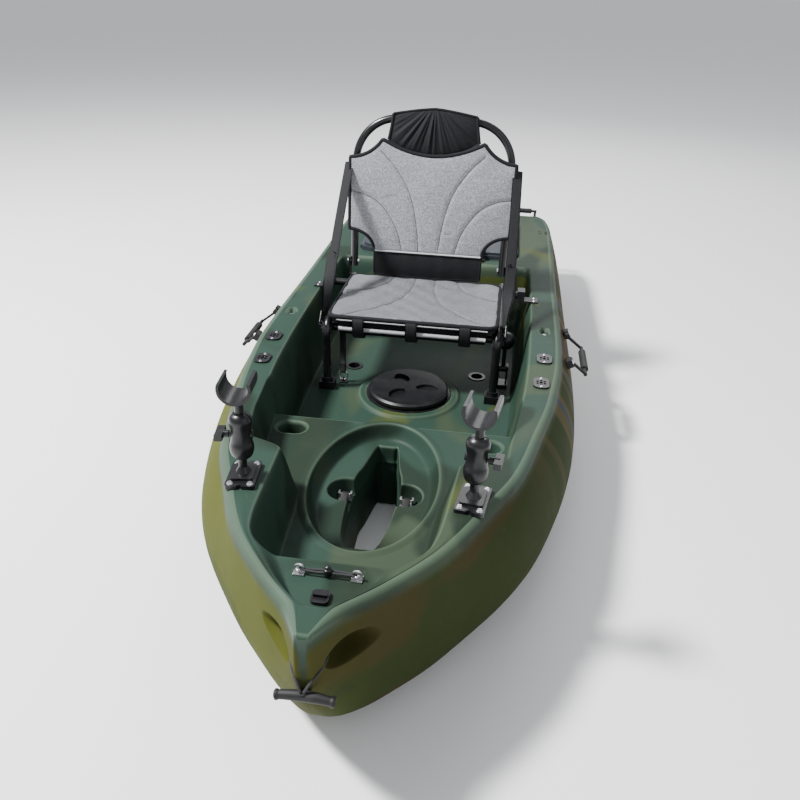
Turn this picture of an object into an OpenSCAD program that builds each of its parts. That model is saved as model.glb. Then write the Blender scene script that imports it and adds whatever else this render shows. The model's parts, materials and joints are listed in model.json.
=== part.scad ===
// Sit-on-top pedal fishing boat: one moulded hull with a framed seat,
// two rod holders, hatches, carry handles, steering lever and rudder.
// Y runs from bow (-) to stern (+), Z is up, and the keel rests on Z = 0.

/* [Hull] */
// Length of the hull from stem to transom
hull_len = 2400; // [2000:10:3000]
// Greatest beam, just under the rails
hull_beam = 900; // [760:10:1100]
// Height of the rails beside the seat
rail_h = 286; // [240:2:350]
// Height of the deck at the bow
bow_h = 342; // [300:2:420]
// Height of the cockpit floor
floor_h = 106; // [80:2:130]
// Height of the console in front of the seat
console_h = 198; // [170:2:215]
// Depth of the bow tray below the bow deck
tray_depth = 34; // [20:1:60]
// Depth of the round dish in the console
dish_depth = 34; // [20:1:50]
// Width of the keel skid
skid_w = 150; // [100:5:220]

/* [Drive well] */
// Half width of the slot that the drive drops through, at the stern end
slot_half = 25; // [20:1:40]
// Half width over the two latch lobes
lobe_half = 103; // [85:1:115]
// Depth of the lobes below the dish floor
lobe_depth = 42; // [25:1:60]

/* [Hatches] */
// Radius of the round screw hatch lid
hatch_r = 111; // [90:1:130]
// Wall of the hatch ring
hatch_wall = 6; // [4:0.5:10]
// Depth of the dry compartment under the round hatch
dry_depth = 62; // [40:1:80]
// Width of the rear hatch lid
rear_lid_w = 560; // [420:5:600]
// Length of the rear hatch lid
rear_lid_l = 470; // [380:5:560]
// Depth of the tub under the rear lid
tub_depth = 150; // [80:5:180]
// Radius of a scupper hole
scupper_r = 17; // [12:0.5:22]

/* [Seat] */
// Diameter of the seat frame tubes
tube_d = 22; // [18:1:28]
// Height of the seat rails over the cockpit floor
seat_rise = 196; // [150:2:240]
// Depth of the seat from front tube to back pivot
seat_depth = 352; // [300:2:420]
// Height of the back hoop over its pivot
back_h = 421; // [340:2:500]
// Recline of the back at rest, in degrees
recline = 7; // [0:1:15]
// Corner radius of the back hoop
hoop_r = 122; // [110:2:170]
// Thickness of the seat pads
pad_t = 16; // [10:1:24]
// Width of the side straps
strap_w = 34; // [25:1:50]

/* [Rod holders] */
// Width of the rod holder base plate
rod_plate_w = 54; // [46:1:70]
// Length of the rod holder base plate
rod_plate_l = 92; // [84:1:120]
// Radius of both balls of the rod holder arm
ball_r = 15; // [12:0.5:18]
// Distance between the two balls
arm_len = 56; // [50:1:80]
// Inner radius of the rod cradle
cradle_r = 25; // [20:0.5:32]
// Length of the rod cradle
cradle_l = 66; // [50:1:90]

/* [Handles] */
// Length of the grip of a side handle
grip_l = 108; // [90:1:140]
// Radius of the handle grips
grip_r = 13; // [10:0.5:16]
// Length of the bow toggle
toggle_l = 82; // [60:1:120]

/* [Steering] */
// Radius of the ball knob on the steering lever
knob_r = 26; // [20:0.5:32]
// Length of the steering lever
lever_l = 92; // [70:1:120]
// Thickness of the rudder blade
blade_t = 8; // [6:0.5:12]

/* [Hidden] */

half_len = hull_len / 2;
half_beam = hull_beam / 2;
clear = 0.3;
fine = 48;
round = 32;
small = 20;

// ---- curves along the hull; each runs over u = -1 at the bow to 1 at the stern ----

function lerp(a, b, t) = a + (b - a) * t;
function clamp(v, lo, hi) = max(lo, min(hi, v));
function span(p, u, i = 0) = (i >= len(p) - 2 || u < p[i + 1][0]) ? i : span(p, u, i + 1);
function rise(p, i) =
    let(a = max(i - 1, 0), b = min(i + 1, len(p) - 1)) (p[b][1] - p[a][1]) / (p[b][0] - p[a][0]);
// Smooth curve through the points [u, value], flat past its ends
function along(p, u) =
    let(i = span(p, u), w = p[i + 1][0] - p[i][0], t = clamp((u - p[i][0]) / w, 0, 1),
        s = t * t, c = s * t)
    p[i][1] * (2 * c - 3 * s + 1) + rise(p, i) * w * (c - 2 * s + t)
    + p[i + 1][1] * (3 * s - 2 * c) + rise(p, i + 1) * w * (c - s);
function ramp(u, a, b) = let(t = clamp((u - a) / (b - a), 0, 1)) t * t * (3 - 2 * t);

// Half beam under the rails and half width of the deck, as shares of half the beam
beam_curve = [[-1, 0.035], [-0.955, 0.12], [-0.89, 0.27], [-0.815, 0.44], [-0.69, 0.675], [-0.58, 0.805],
    [-0.37, 0.945], [-0.15, 1], [0.3, 1], [0.75, 0.99], [0.95, 0.955], [1, 0.93]];
deck_curve = [[-1, 0.03], [-0.96, 0.095], [-0.9, 0.242], [-0.815, 0.41], [-0.69, 0.567], [-0.595, 0.673],
    [-0.445, 0.767], [-0.31, 0.842], [-0.11, 0.9], [0.3, 0.905], [0.85, 0.91], [0.97, 0.88], [1, 0.84]];
// Half width between the rails of the cockpit, with the two benches in front
inner_curve = [[-0.955, 0.03], [-0.93, 0.11], [-0.9, 0.19], [-0.86, 0.275], [-0.82, 0.325], [-0.77, 0.355], [-0.655, 0.38],
    [-0.585, 0.395]];
rail_curve = [[-0.545, 0.6], [-0.46, 0.62], [-0.236, 0.685], [0.1, 0.715], [0.45, 0.715]];
// Rise of the keel at both ends, as a share of the bow height
keel_curve = [[-1, 0.62], [-0.985, 0.48], [-0.955, 0.29], [-0.92, 0.15], [-0.875, 0.06], [-0.8, 0.0],
    [0.75, 0.0], [0.9, 0.03], [1, 0.1]];
flat_curve = [[-1, 0.1], [-0.9, 0.2], [-0.7, 0.42], [-0.4, 0.58], [0.8, 0.62], [1, 0.6]];

function beam_at(u) = half_beam * along(beam_curve, u);
function deck_at(u) = half_beam * along(deck_curve, u);
function inner_at(u) = half_beam * lerp(along(inner_curve, u), along(rail_curve, u), ramp(u, -0.59, -0.545));
function keel_at(u) = 4 + bow_h * along(keel_curve, u);
function deck_z(u) = rail_h + (bow_h - rail_h) * pow(clamp((-0.3 - u) / 0.7, 0, 1), 1.25);

// Levels of the floor: bow tray, console, cockpit and rear deck
tray_u = -0.945;
tray_end_u = -0.852;
console_front_u = -0.8;
console_u = -0.335;
cockpit_end_u = 0.405;
rear_deck_u = 0.455;
bow_tray_h = bow_h - tray_depth;
function floor_z(u) =
    let(a = lerp(deck_z(u), bow_tray_h, ramp(u, tray_u - 0.007, tray_u + 0.007)),
        b = lerp(a, console_h, ramp(u, tray_end_u, console_front_u)),
        c = lerp(b, floor_h, ramp(u, console_u - 0.006, console_u + 0.012)))
    lerp(c, deck_z(u), ramp(u, cockpit_end_u, rear_deck_u));

// Share of the wall's run and depth at each point, from the rail down to the floor
wall_steps = [[0, 0], [0.16, 0.025], [0.32, 0.16], [0.5, 0.5], [0.66, 0.84], [0.82, 0.965], [1, 1]];
gunwale_r = 20;
chine_steps = 4;

function half_ring(u) =
    let(b = beam_at(u), d = min(deck_at(u), b), zb = keel_at(u), zd = deck_z(u), zf = floor_z(u),
        zc = lerp(zb, zd, 0.44), kw = b * along(flat_curve, u), g = min(gunwale_r, d * 0.4),
        i = min(inner_at(u), (d - g) * 0.92), x0 = i + min(9, (d - g - i) * 0.5), x1 = i - min(40, i * 0.35))
    concat(
        [[0, zb], [kw / 2, zb], [kw, zb]],
        [for (k = [1:chine_steps]) let(t = 90 * k / chine_steps)
            [kw + (b - kw) * sin(t), zb + (zc - zb) * (1 - cos(t))]],
        [for (k = [1:2]) let(t = k / 3) [b - (b - d) * t * t, lerp(zc, zd - g, t)]],
        [for (t = [0:30:90]) [d - g * (1 - cos(t)), zd - g + g * sin(t)]],
        [for (w = wall_steps) [lerp(x0, x1, w[0]), lerp(zd, zf, w[1])]],
        [[x1 * 0.5, zf], [0, zf]]);
function full_ring(u) =
    let(r = half_ring(u), n = len(r))
    concat([for (p = r) [p[0], u * half_len, p[1]]],
        [for (k = [n - 2:-1:1]) [-r[k][0], u * half_len, r[k][1]]]);

stations = concat([-1, -0.992, -0.98, -0.966], [-0.952, -0.9485, -0.945, -0.9415, -0.938, -0.92, -0.9],
    [-0.875, -0.852, -0.84, -0.826, -0.813, -0.8, -0.77, -0.74, -0.7, -0.655, -0.615],
    [-0.59, -0.578, -0.567, -0.556, -0.545, -0.49, -0.43, -0.38, -0.341, -0.335, -0.329, -0.323],
    [for (u = [-0.27:0.09:0.27]) u], [0.35, 0.405, 0.418, 0.43, 0.442, 0.455],
    [0.55, 0.65, 0.75, 0.84, 0.92, 0.965, 0.985, 1]);

module hull_form() {
    rings = [for (u = stations) full_ring(u)];
    n = len(rings[0]);
    m = len(rings);
    points = [for (r = rings) for (p = r) p];
    sides = [for (i = [0:m - 2]) for (j = [0:n - 1]) let(k = (j + 1) % n)
        for (f = [[i * n + j, i * n + k, (i + 1) * n + k], [i * n + j, (i + 1) * n + k, (i + 1) * n + j]]) f];
    ends = [[for (j = [n - 1:-1:0]) j], [for (j = [0:n - 1]) (m - 1) * n + j]];
    polyhedron(points, concat(sides, ends), convexity = 10);
}

// ---- places that several pieces share ----

dish_y = -0.53 * half_len;
dish_a = 136;
dish_b = 0.19 * half_len;
dish_floor = console_h - dish_depth;
well_rear = dish_y + dish_b * 0.8;
well_front = dish_y - dish_b * 0.78;
lobe_y = dish_y + 4;
lobe_floor = dish_floor - lobe_depth;
pocket_x = 0.53 * half_beam;
pocket_y = (console_u - 0.05) * half_len;
hatch_y = -0.073 * half_len;
ring_h = 8;
hatch_bore_r = hatch_r - 14;
rear_lid_y = 0.7 * half_len;
rear_deck_z = deck_z(0.7);
// Slope of the rails along the boat at u
function tilt_at(u) = atan((deck_z(u - 0.02) - deck_z(u + 0.02)) / (0.04 * half_len));
seat_y = -0.07 * half_len;
seat_half = inner_at(0) - 86;
seat_z = floor_h + seat_rise;
pivot_y = seat_y + seat_depth;
scupper_x = 0.41 * half_beam;
scupper_y = 0.047 * half_len;
tube_r = tube_d / 2;

function oval(a, b, n = 48) = [for (t = [0:360 / n:359.9]) [a * cos(t), b * sin(t)]];
module rounded(w, l, r) {
    translate([-w / 2 + r, -l / 2]) square([w - 2 * r, l]);
    translate([-w / 2, -l / 2 + r]) square([w, l - 2 * r]);
    for (x = [-1, 1]) for (y = [-1, 1]) translate([x * (w / 2 - r), y * (l / 2 - r)]) circle(r, $fn = small);
}

// Half outline of the drive slot, from the stern end to the bow end
slot_side = [[slot_half, well_rear], [slot_half + 14, lerp(well_rear, lobe_y, 0.45)],
    [slot_half + 26, lobe_y + 46], [slot_half + 26, lobe_y - 46],
    [slot_half + 18, lerp(lobe_y, well_front, 0.75)], [slot_half + 6, well_front]];
module slot_outline() {
    polygon(concat(slot_side, [for (k = [len(slot_side) - 1:-1:0]) [-slot_side[k][0], slot_side[k][1]]]));
}

// Hand scoops beside the stem, and half the width of the web left between them
scoop_r = 38;
scoop_y = -0.962 * half_len;
scoop_z = bow_h * 0.775;
stem_half = 14;

// ---- hull ----

module hatch_pad() {
    translate([0, hatch_y, floor_h - 6]) cylinder(h = ring_h + 6, r = hatch_r + 34, $fn = fine);
}

module dish_rim() {
    difference() {
        translate([0, dish_y, console_h - 6])
            linear_extrude(12) polygon(oval(dish_a + 16, dish_b + 16));
        translate([0, dish_y, console_h - 10])
            linear_extrude(24) polygon(oval(dish_a, dish_b));
    }
}

module hull_cuts() {
    // dish, lobes and the slot right through the hull
    translate([0, dish_y, dish_floor]) linear_extrude(dish_depth + 20) polygon(oval(dish_a, dish_b));
    translate([0, 0, -10]) linear_extrude(dish_floor + 20) slot_outline();
    for (s = [-1, 1]) {
        translate([s * (lobe_half - 40), lobe_y, lobe_floor])
            cylinder(h = lobe_depth + 10, r = 40, $fn = round);
        // foot pockets at the console's corners
        translate([s * pocket_x, pocket_y, console_h - 52]) linear_extrude(90) polygon(oval(46, 37, 32));
        translate([s * scupper_x, scupper_y, -10])
            cylinder(h = floor_h + 20, r = scupper_r + liner_wall + clear, $fn = fine);
        // moulded accessory slot in each rail
        translate([s * rail_x(slot_u), slot_u * half_len, deck_z(slot_u) - 14])
            linear_extrude(30) polygon(oval(13, 26, 24));
        // hand scoops on either side of the stem
        translate([s * (stem_half + scoop_r), scoop_y, scoop_z])
            scale([1, 1.3, 0.8]) sphere(scoop_r, $fn = round);
    }
    // round hatch and the dry compartment below it
    translate([0, hatch_y, floor_h - dry_depth - 6]) cylinder(h = 120, r = hatch_bore_r + clear, $fn = fine);
    translate([0, hatch_y, floor_h - dry_depth - 6])
        linear_extrude(dry_depth - 14) rounded(420, 300, 40);
    // seat of the hatch ring
    translate([0, hatch_y, floor_h + ring_h - 4]) cylinder(h = 20, r = hatch_r + 8, $fn = fine);
    // drain plug
    translate([0, plug_y, bow_tray_h - 14]) cylinder(h = 40, r = plug_r + clear, $fn = small);
    // rear tub and the seat of its lid
    translate([0, rear_lid_y, rear_deck_z - tub_depth])
        linear_extrude(tub_depth + 40) rounded(rear_lid_w - 60, rear_lid_l - 60, 50);
    translate([0, rear_lid_y, rear_deck_z - 12])
        linear_extrude(60) rounded(rear_lid_w + 8, rear_lid_l + 8, 60);
    // hole for the bow cord
    translate([0, cord_y, cord_z]) rotate([0, 90, 0]) cylinder(h = 200, r = cord_r + 0.7, center = true, $fn = small);
}

module hull() {
    // one moulding, brought to its full length
    color([0.33, 0.41, 0.33])
    resize([0, hull_len, 0]) difference() {
        union() {
            hull_form();
            hatch_pad();
            dish_rim();
            translate([-skid_w / 2, -0.74 * half_len, 0]) cube([skid_w, 1.44 * half_len, 40]);
        }
        hull_cuts();
    }
}

// Tubes that line the scupper holes through the hull
liner_wall = 3;
module scupper_liners() {
    color([0.3, 0.37, 0.3])
    for (s = [-1, 1]) translate([s * scupper_x, scupper_y, 0]) difference() {
        union() {
            translate([0, 0, 6]) cylinder(h = floor_h - 5, r = scupper_r + liner_wall, $fn = fine);
            translate([0, 0, floor_h + 0.05]) cylinder(h = 2.5, r = scupper_r + 8, $fn = fine);
        }
        cylinder(h = 3 * floor_h, r = scupper_r, center = true, $fn = fine);
    }
}

// ---- round hatch ----

hatch_z = floor_h + ring_h - 4;
ring_flange = 5;
module hatch_ring() {
    color([0.07, 0.07, 0.08])
    translate([0, hatch_y, hatch_z])
    difference() {
        union() {
            cylinder(h = ring_flange, r = hatch_r + 7, $fn = fine);
            translate([0, 0, -18]) cylinder(h = 20, r = hatch_bore_r, $fn = fine);
        }
        translate([0, 0, -20]) cylinder(h = 60, r = hatch_bore_r - hatch_wall, $fn = fine);
    }
}

seal_r = 2.5;
module hatch_seal() {
    color([0.15, 0.15, 0.15])
    translate([0, hatch_y, hatch_z + ring_flange + seal_r + 0.02])
        rotate_extrude($fn = fine) translate([hatch_r - 6, 0]) circle(seal_r, $fn = small);
}

lid_t = 12;
// Gap round the plug below the lid
lid_z = hatch_z + ring_flange + 2 * seal_r + 0.04;
leaf_r = hatch_r * 0.46;
module leaf() {
    intersection() {
        translate([-13, 0]) circle(34, $fn = round);
        translate([13, 0]) circle(34, $fn = round);
    }
}
module hatch_lid() {
    color([0.08, 0.08, 0.09])
    translate([0, hatch_y, lid_z])
    difference() {
        union() {
            cylinder(h = lid_t - 4, r = hatch_r, $fn = fine);
            translate([0, 0, lid_t - 4]) cylinder(h = 4, r1 = hatch_r, r2 = hatch_r - 6, $fn = fine);
        }
        for (t = [0, 120, 240]) rotate(t + 30) translate([0, leaf_r, lid_t - 8]) linear_extrude(20) leaf();
    }
}

// ---- rear hatch ----

gasket_z = rear_deck_z - 12;
gasket_t = 6;
rear_lid_z = gasket_z + gasket_t + clear;
rear_lid_t = 26;
module rear_gasket() {
    color([0.06, 0.06, 0.06])
    translate([0, rear_lid_y, gasket_z]) linear_extrude(gasket_t) difference() {
        rounded(rear_lid_w, rear_lid_l, 56);
        rounded(rear_lid_w - 36, rear_lid_l - 36, 40);
    }
}
module rear_lid() {
    color([0.25, 0.29, 0.33])
    translate([0, rear_lid_y, rear_lid_z])
    difference() {
        union() {
            linear_extrude(rear_lid_t - 8) rounded(rear_lid_w, rear_lid_l, 56);
            translate([0, 0, rear_lid_t - 8]) linear_extrude(8) rounded(rear_lid_w - 24, rear_lid_l - 24, 46);
        }
        translate([0, 0, -1]) linear_extrude(rear_lid_t - 7) rounded(rear_lid_w - 40, rear_lid_l - 40, 40);
    }
    color([0.25, 0.29, 0.33])
    for (x = [-1, 1]) translate([x * hinge_x, hinge_y, hinge_z]) difference() {
        union() {
            rotate([0, 90, 0]) cylinder(h = 34, r = 9, center = true, $fn = round);
            translate([-17, -26, -7]) cube([34, 26, 7]);
        }
        rotate([0, 90, 0]) cylinder(h = 60, r = 4.05, center = true, $fn = small);
    }
    color([0.25, 0.29, 0.33])
    for (x = [-1, 1]) for (e = [-1, 1]) translate([x * hinge_x + e * 15 - 2.5, latch_y, latch_z]) difference() {
        translate([0, -6, 4 - latch_rise]) cube([5, 12, latch_rise + 2]);
        rotate([0, 90, 0]) cylinder(h = 40, r = 2.55, center = true, $fn = small);
    }
}
hinge_x = rear_lid_w * 0.27;
hinge_y = rear_lid_y + rear_lid_l / 2 + 16;
hinge_z = rear_deck_z + 12;
lid_front = rear_lid_y - rear_lid_l / 2;
latch_y = lid_front + 24;
latch_rise = 12;
latch_z = rear_lid_z + rear_lid_t + latch_rise - 5;
latch_reach = 52;
module rear_hinges() {
    color([0.08, 0.08, 0.08])
    for (x = [-1, 1]) translate([x * hinge_x, 0, 0]) {
        translate([0, hinge_y, hinge_z]) rotate([0, 90, 0]) cylinder(h = 48, r = 4, center = true, $fn = small);
        for (e = [-1, 1]) translate([e * 21 - 3, hinge_y - 7, rear_deck_z + 0.05]) cube([6, 14, 18]);
        translate([-24, hinge_y + 3, rear_deck_z + 0.05]) cube([48, 30, 3]);
        // keeper for the latch in front of the lid
        translate([-17, latch_y - latch_reach - 10, rear_deck_z + 0.05]) cube([34, 9, 9]);
    }
}
module rear_latch(s) {
    color([0.06, 0.06, 0.07])
    translate([s * hinge_x, latch_y, latch_z]) {
        rotate([0, 90, 0]) cylinder(h = 36, r = 2.5, center = true, $fn = small);
        translate([-12, -latch_reach, -2]) cube([24, latch_reach + 3, 5]);
        translate([-12, -latch_reach, 2 - latch_reach * 0.4]) cube([24, 4, latch_reach * 0.4]);
    }
}
module rear_latch_l() rear_latch(-1);
module rear_latch_r() rear_latch(1);

// ---- deck fittings ----

plug_y = -0.917 * half_len;
plug_r = 11;
module drain_plug() {
    color([0.05, 0.05, 0.05])
    translate([0, plug_y, bow_tray_h]) {
        translate([0, 0, -12]) cylinder(h = 13, r = plug_r - 0.05, $fn = small);
        translate([0, 0, 0.05]) linear_extrude(6) rounded(28, 28, 8);
        translate([-11, -3, 5]) cube([22, 6, 6]);
    }
}

plate_u = [-0.138, -0.25];
slot_u = 0.014;
function rail_x(u) = (deck_at(u) - gunwale_r + inner_at(u) + 9) / 2 + 2;
// Sets its children on a rail at u, with a hair of room below
module on_rail(s, u) {
    translate([s * rail_x(u), u * half_len, deck_z(u) + clear]) rotate([-tilt_at(u), 0, 0]) children();
}
plate_t = 5;
module rail_plate() {
    difference() {
        linear_extrude(plate_t) rounded(38, 52, 15);
        for (t = [0:60:300]) rotate(t) translate([0, 10, 2]) cylinder(h = 10, r = 3.4, $fn = small);
        translate([0, 0, 2]) cylinder(h = 10, r = 4.5, $fn = small);
        for (y = [-1, 1]) translate([0, y * 20, -1]) cylinder(h = 10, r = 2.5, $fn = small);
    }
}
module rail_plates() {
    color([0.06, 0.06, 0.06])
    for (s = [-1, 1]) for (u = plate_u) on_rail(s, u) rail_plate();
}
module screw(r, head_r, h) {
    translate([0, 0, -h]) cylinder(h = h + 0.5, r = r, $fn = small);
    difference() {
        cylinder(h = head_r * 0.55, r1 = head_r, r2 = head_r * 0.62, $fn = small);
        translate([-head_r, -0.6, head_r * 0.3]) cube([2 * head_r, 1.2, 5]);
    }
}
module rail_screws() {
    color("silver")
    for (s = [-1, 1]) {
        for (u = plate_u) on_rail(s, u) for (y = [-1, 1])
            translate([0, y * 20, plate_t]) screw(2.5, 4, plate_t);
        translate([s * rail_x(slot_u), slot_u * half_len, deck_z(slot_u) - 14]) cylinder(h = 4, r = 6, $fn = small);
    }
}

insert_u = 0.81;
insert_x = deck_at(insert_u) - 34;
module stern_inserts() {
    color([0.75, 0.77, 0.78])
    for (s = [-1, 1]) for (t = [45:90:315])
        translate([s * insert_x, insert_u * half_len, deck_z(insert_u)])
            rotate(t) translate([17, 0, 0]) difference() {
                cylinder(h = 2, r = 5.5, $fn = small);
                translate([0, 0, 0.8]) cylinder(h = 4, r = 2.8, $fn = small);
            }
}

// ---- rod holders ----

rod_u = -0.69;
rod_x = 0.47 * half_beam;
rod_turn = 8;
plate_h = 13;
ball_z = 62;
rod_z = deck_z(rod_u) + clear;
module rod_base() {
    color([0.07, 0.07, 0.07])
    difference() {
        union() {
            linear_extrude(plate_h - 5) difference() {
                rounded(rod_plate_w, rod_plate_l, 6);
                for (y = [-1, 1]) translate([0, y * rod_plate_l / 2]) circle(5, $fn = small);
            }
            linear_extrude(plate_h) rounded(rod_plate_w - 12, rod_plate_l - 36, 6);
            cylinder(h = ball_z, r = 8, $fn = round);
            translate([0, 0, plate_h - 1]) cylinder(h = 12, r1 = 15, r2 = 8, $fn = round);
            translate([0, 0, ball_z]) sphere(ball_r, $fn = round);
        }
        for (x = [-1, 1]) for (y = [-1, 1])
            translate([x * (rod_plate_w / 2 - 9), y * (rod_plate_l / 2 - 10), -1])
                cylinder(h = 20, r = 3, $fn = small);
    }
}
module at_rod(s) {
    translate([s * rod_x, rod_u * half_len, rod_z]) rotate([-tilt_at(rod_u), 0, -s * rod_turn]) children();
}
module rod_half_shell() {
    difference() {
        translate([0, 0, -13]) rotate_extrude($fn = round) polygon([[0, 0], [16, 0], [20, 6], [20, 20],
            [15, arm_len / 2 + 7], [15, arm_len / 2 + 19], [20, arm_len + 6], [20, arm_len + 20],
            [16, arm_len + 26], [0, arm_len + 26]]);
        for (z = [0, arm_len]) translate([0, 0, z]) sphere(ball_r + 0.06, $fn = round);
        translate([0, 0, -30]) cylinder(h = 26, r1 = 31, r2 = 12, $fn = round);
        translate([0, 0, arm_len + 4]) cylinder(h = 26, r1 = 12, r2 = 31, $fn = round);
        translate([-50, -50, -50]) cube([51.2, 100, 250]);
        translate([0, 0, arm_len / 2]) rotate([0, 90, 0]) cylinder(h = 100, r = 4.05, center = true, $fn = small);
    }
}
module rod_arm() {
    color([0.09, 0.09, 0.09])
    translate([0, 0, ball_z]) {
        rod_half_shell();
        mirror([1, 0, 0]) rod_half_shell();
    }
}
// Clamp bolt through the arm with its T knob on the outboard side
module rod_knob() {
    color([0.12, 0.12, 0.12])
    translate([0, 0, ball_z + arm_len / 2]) rotate([0, 90, 0]) {
        translate([0, 0, -22]) cylinder(h = 60, r = 4, $fn = small);
        translate([0, 0, -22]) cylinder(h = 4, r = 7.5, $fn = small);
        translate([0, 0, 21]) cylinder(h = 18, r = 7, $fn = small);
        translate([-6, -20, 30]) cube([12, 40, 14]);
    }
}
cradle_z = ball_z + arm_len + 66;
module cradle_outline() {
    difference() {
        union() {
            circle(cradle_r + 5, $fn = fine);
            for (s = [-1, 1]) rotate(s * 20) translate([s * (cradle_r + 1), 0]) square([14, 5]);
        }
        circle(cradle_r, $fn = fine);
        translate([-60, cradle_r * 0.42]) square([120, 80]);
    }
}
module rod_cradle() {
    color([0.06, 0.06, 0.06])
    translate([0, 0, ball_z + arm_len]) {
        sphere(ball_r, $fn = round);
        cylinder(h = 40, r = 8, $fn = round);
        translate([0, 0, 30]) cylinder(h = 15, r1 = 8, r2 = 14, $fn = round);
    }
    color([0.06, 0.06, 0.06])
    translate([0, 0, cradle_z + 6]) rotate([90, 0, 0])
        translate([0, 0, -cradle_l / 2]) linear_extrude(cradle_l) cradle_outline();
}
module rod_base_l() at_rod(-1) rod_base();
module rod_base_r() at_rod(1) rod_base();
module rod_arm_l() at_rod(-1) rod_arm();
module rod_arm_r() at_rod(1) rod_arm();
module rod_knob_l() at_rod(-1) mirror([1, 0, 0]) rod_knob();
module rod_knob_r() at_rod(1) rod_knob();
module rod_cradle_l() at_rod(-1) rod_cradle();
module rod_cradle_r() at_rod(1) rod_cradle();
module rod_screws() {
    color("silver")
    for (s = [-1, 1]) at_rod(s) for (x = [-1, 1]) for (y = [-1, 1])
        translate([x * (rod_plate_w / 2 - 9), y * (rod_plate_l / 2 - 10), plate_h - 5]) screw(3, 6, plate_h - 5);
}

// ---- drive latches in the lobes ----

pull_x = lobe_half - 35;
pull_y = lobe_y + 18;
pull_l = 34;
pull_axis_z = lobe_floor + 14;
module pull_posts() {
    color([0.06, 0.06, 0.06])
    for (s = [-1, 1]) translate([s * pull_x, pull_y, lobe_floor + 0.05]) {
        for (x = [-1, 1]) translate([x * 13 - 2, -6, 0]) cube([4, 12, 20]);
        translate([-15, -8, 0]) cube([30, 16, 4]);
        translate([0, 0, 13.95]) rotate([0, 90, 0]) cylinder(h = 30, r = 2.5, center = true, $fn = small);
    }
}
module pull(s) {
    color([0.1, 0.1, 0.1])
    translate([s * pull_x, pull_y, pull_axis_z]) {
        difference() {
            union() {
                rotate([0, 90, 0]) cylinder(h = 21, r = 5.5, center = true, $fn = small);
                translate([-8.5, -pull_l, -3.5]) cube([17, pull_l, 7]);
                for (k = [0:3]) translate([-10, -pull_l + 1 + 7 * k, -4.5]) cube([20, 3.5, 9]);
            }
            rotate([0, 90, 0]) cylinder(h = 40, r = 2.55, center = true, $fn = small);
        }
    }
}
module pull_hook(s) {
    color("silver")
    translate([s * pull_x, pull_y - pull_l, pull_axis_z]) {
        translate([-1.2, -11, -1.2]) cube([2.4, 11, 2.4]);
        translate([0, -11, -5]) rotate([0, 90, 0]) difference() {
            cylinder(h = 2.4, r = 6, center = true, $fn = small);
            cylinder(h = 4, r = 3.6, center = true, $fn = small);
        }
    }
}
module pull_l() pull(-1);
module pull_r() pull(1);
module pull_hooks_l() pull_hook(-1);
module pull_hooks_r() pull_hook(1);

// ---- carry handles ----

handle_u = 0.005;
// Point of the hull's side that carries the handles, and its lean from upright
handle_t = 0.84;
chine_z = lerp(keel_at(handle_u), deck_z(handle_u), 0.44);
side_top = deck_z(handle_u) - gunwale_r;
handle_z = lerp(chine_z, side_top, handle_t);
side_fall = (beam_at(handle_u) - deck_at(handle_u)) * 5 / 9;
side_x = deck_at(handle_u) + side_fall * (1 - handle_t) * 3;
side_lean = atan(side_fall / ((side_top - chine_z) / 3));
side_rest = 24;
handle_span = grip_l + 64;
bail_drop = 58;
pivot_out = 11;
eye_r = 8;
eye_w = 12;
// Everything of a handle stands off its surface along +X, with its pivots along Y
module bail_pads(span, base) {
    for (y = [-1, 1]) translate([0, y * span / 2, 0]) {
        translate([base, y > 0 ? 0.3 : -20.3, -11]) cube([pivot_out + 7 - base, 20, 22]);
        translate([pivot_out, y * 0.4, 0]) rotate([y * 90, 0, 0]) cylinder(h = eye_w + 2, r = 4, $fn = small);
    }
}
module bail(span, drop) {
    translate([pivot_out, 0, 0]) {
        for (y = [-1, 1]) difference() {
            union() {
                translate([0, y * (span / 2 - eye_w / 2), 0]) rotate([90, 0, 0])
                    cylinder(h = eye_w, r = eye_r, center = true, $fn = round);
                translate([-3, y * (span / 2 - eye_w / 2) - eye_w / 2 + 1, -drop]) cube([6, eye_w - 2, drop]);
            }
            rotate([90, 0, 0]) cylinder(h = 2 * span, r = 4.05, center = true, $fn = small);
        }
        translate([0, 0, -drop]) rotate([90, 0, 0]) cylinder(h = grip_l, r = grip_r - 3, center = true, $fn = small);
        translate([0, 0, -drop]) rotate([90, 0, 0]) cylinder(h = span, r = 5, center = true, $fn = small);
    }
}
module at_side(s) {
    translate([s * side_x, handle_u * half_len, handle_z]) rotate(s > 0 ? 0 : 180)
        rotate([0, -side_lean, 0]) children();
}
stern_x = 0.62 * half_beam;
stern_z = rail_h - 40;
stern_span = 150;
stern_lean = 158;
module at_stern(s) {
    translate([s * stern_x, half_len, stern_z]) rotate(90) children();
}
module handle_pads() {
    color([0.06, 0.06, 0.06])
    for (s = [-1, 1]) {
        at_side(s) bail_pads(handle_span, 0.1);
        at_stern(s) bail_pads(stern_span, 0.1);
    }
}
module handle_screws() {
    color("silver")
    for (s = [-1, 1]) at_side(s) for (y = [-1, 1])
        translate([pivot_out + 7, y * (handle_span / 2 + 10), 0]) rotate([0, 90, 0]) screw(3, 6, 0);
}
// The bail swung out from its surface by an angle
module leaned(a, span) {
    translate([pivot_out, 0, 0]) rotate([0, -a, 0]) translate([-pivot_out, 0, 0]) bail(span, bail_drop);
}
module handle_l() {
    color([0.07, 0.07, 0.08]) at_side(-1) leaned(side_rest, handle_span);
}
module handle_r() {
    color([0.07, 0.07, 0.08]) at_side(1) leaned(side_rest, handle_span);
}
module stern_bail(s) {
    color([0.07, 0.07, 0.08]) at_stern(s) leaned(stern_lean, stern_span);
}
module stern_handle_l() stern_bail(-1);
module stern_handle_r() stern_bail(1);

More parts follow.
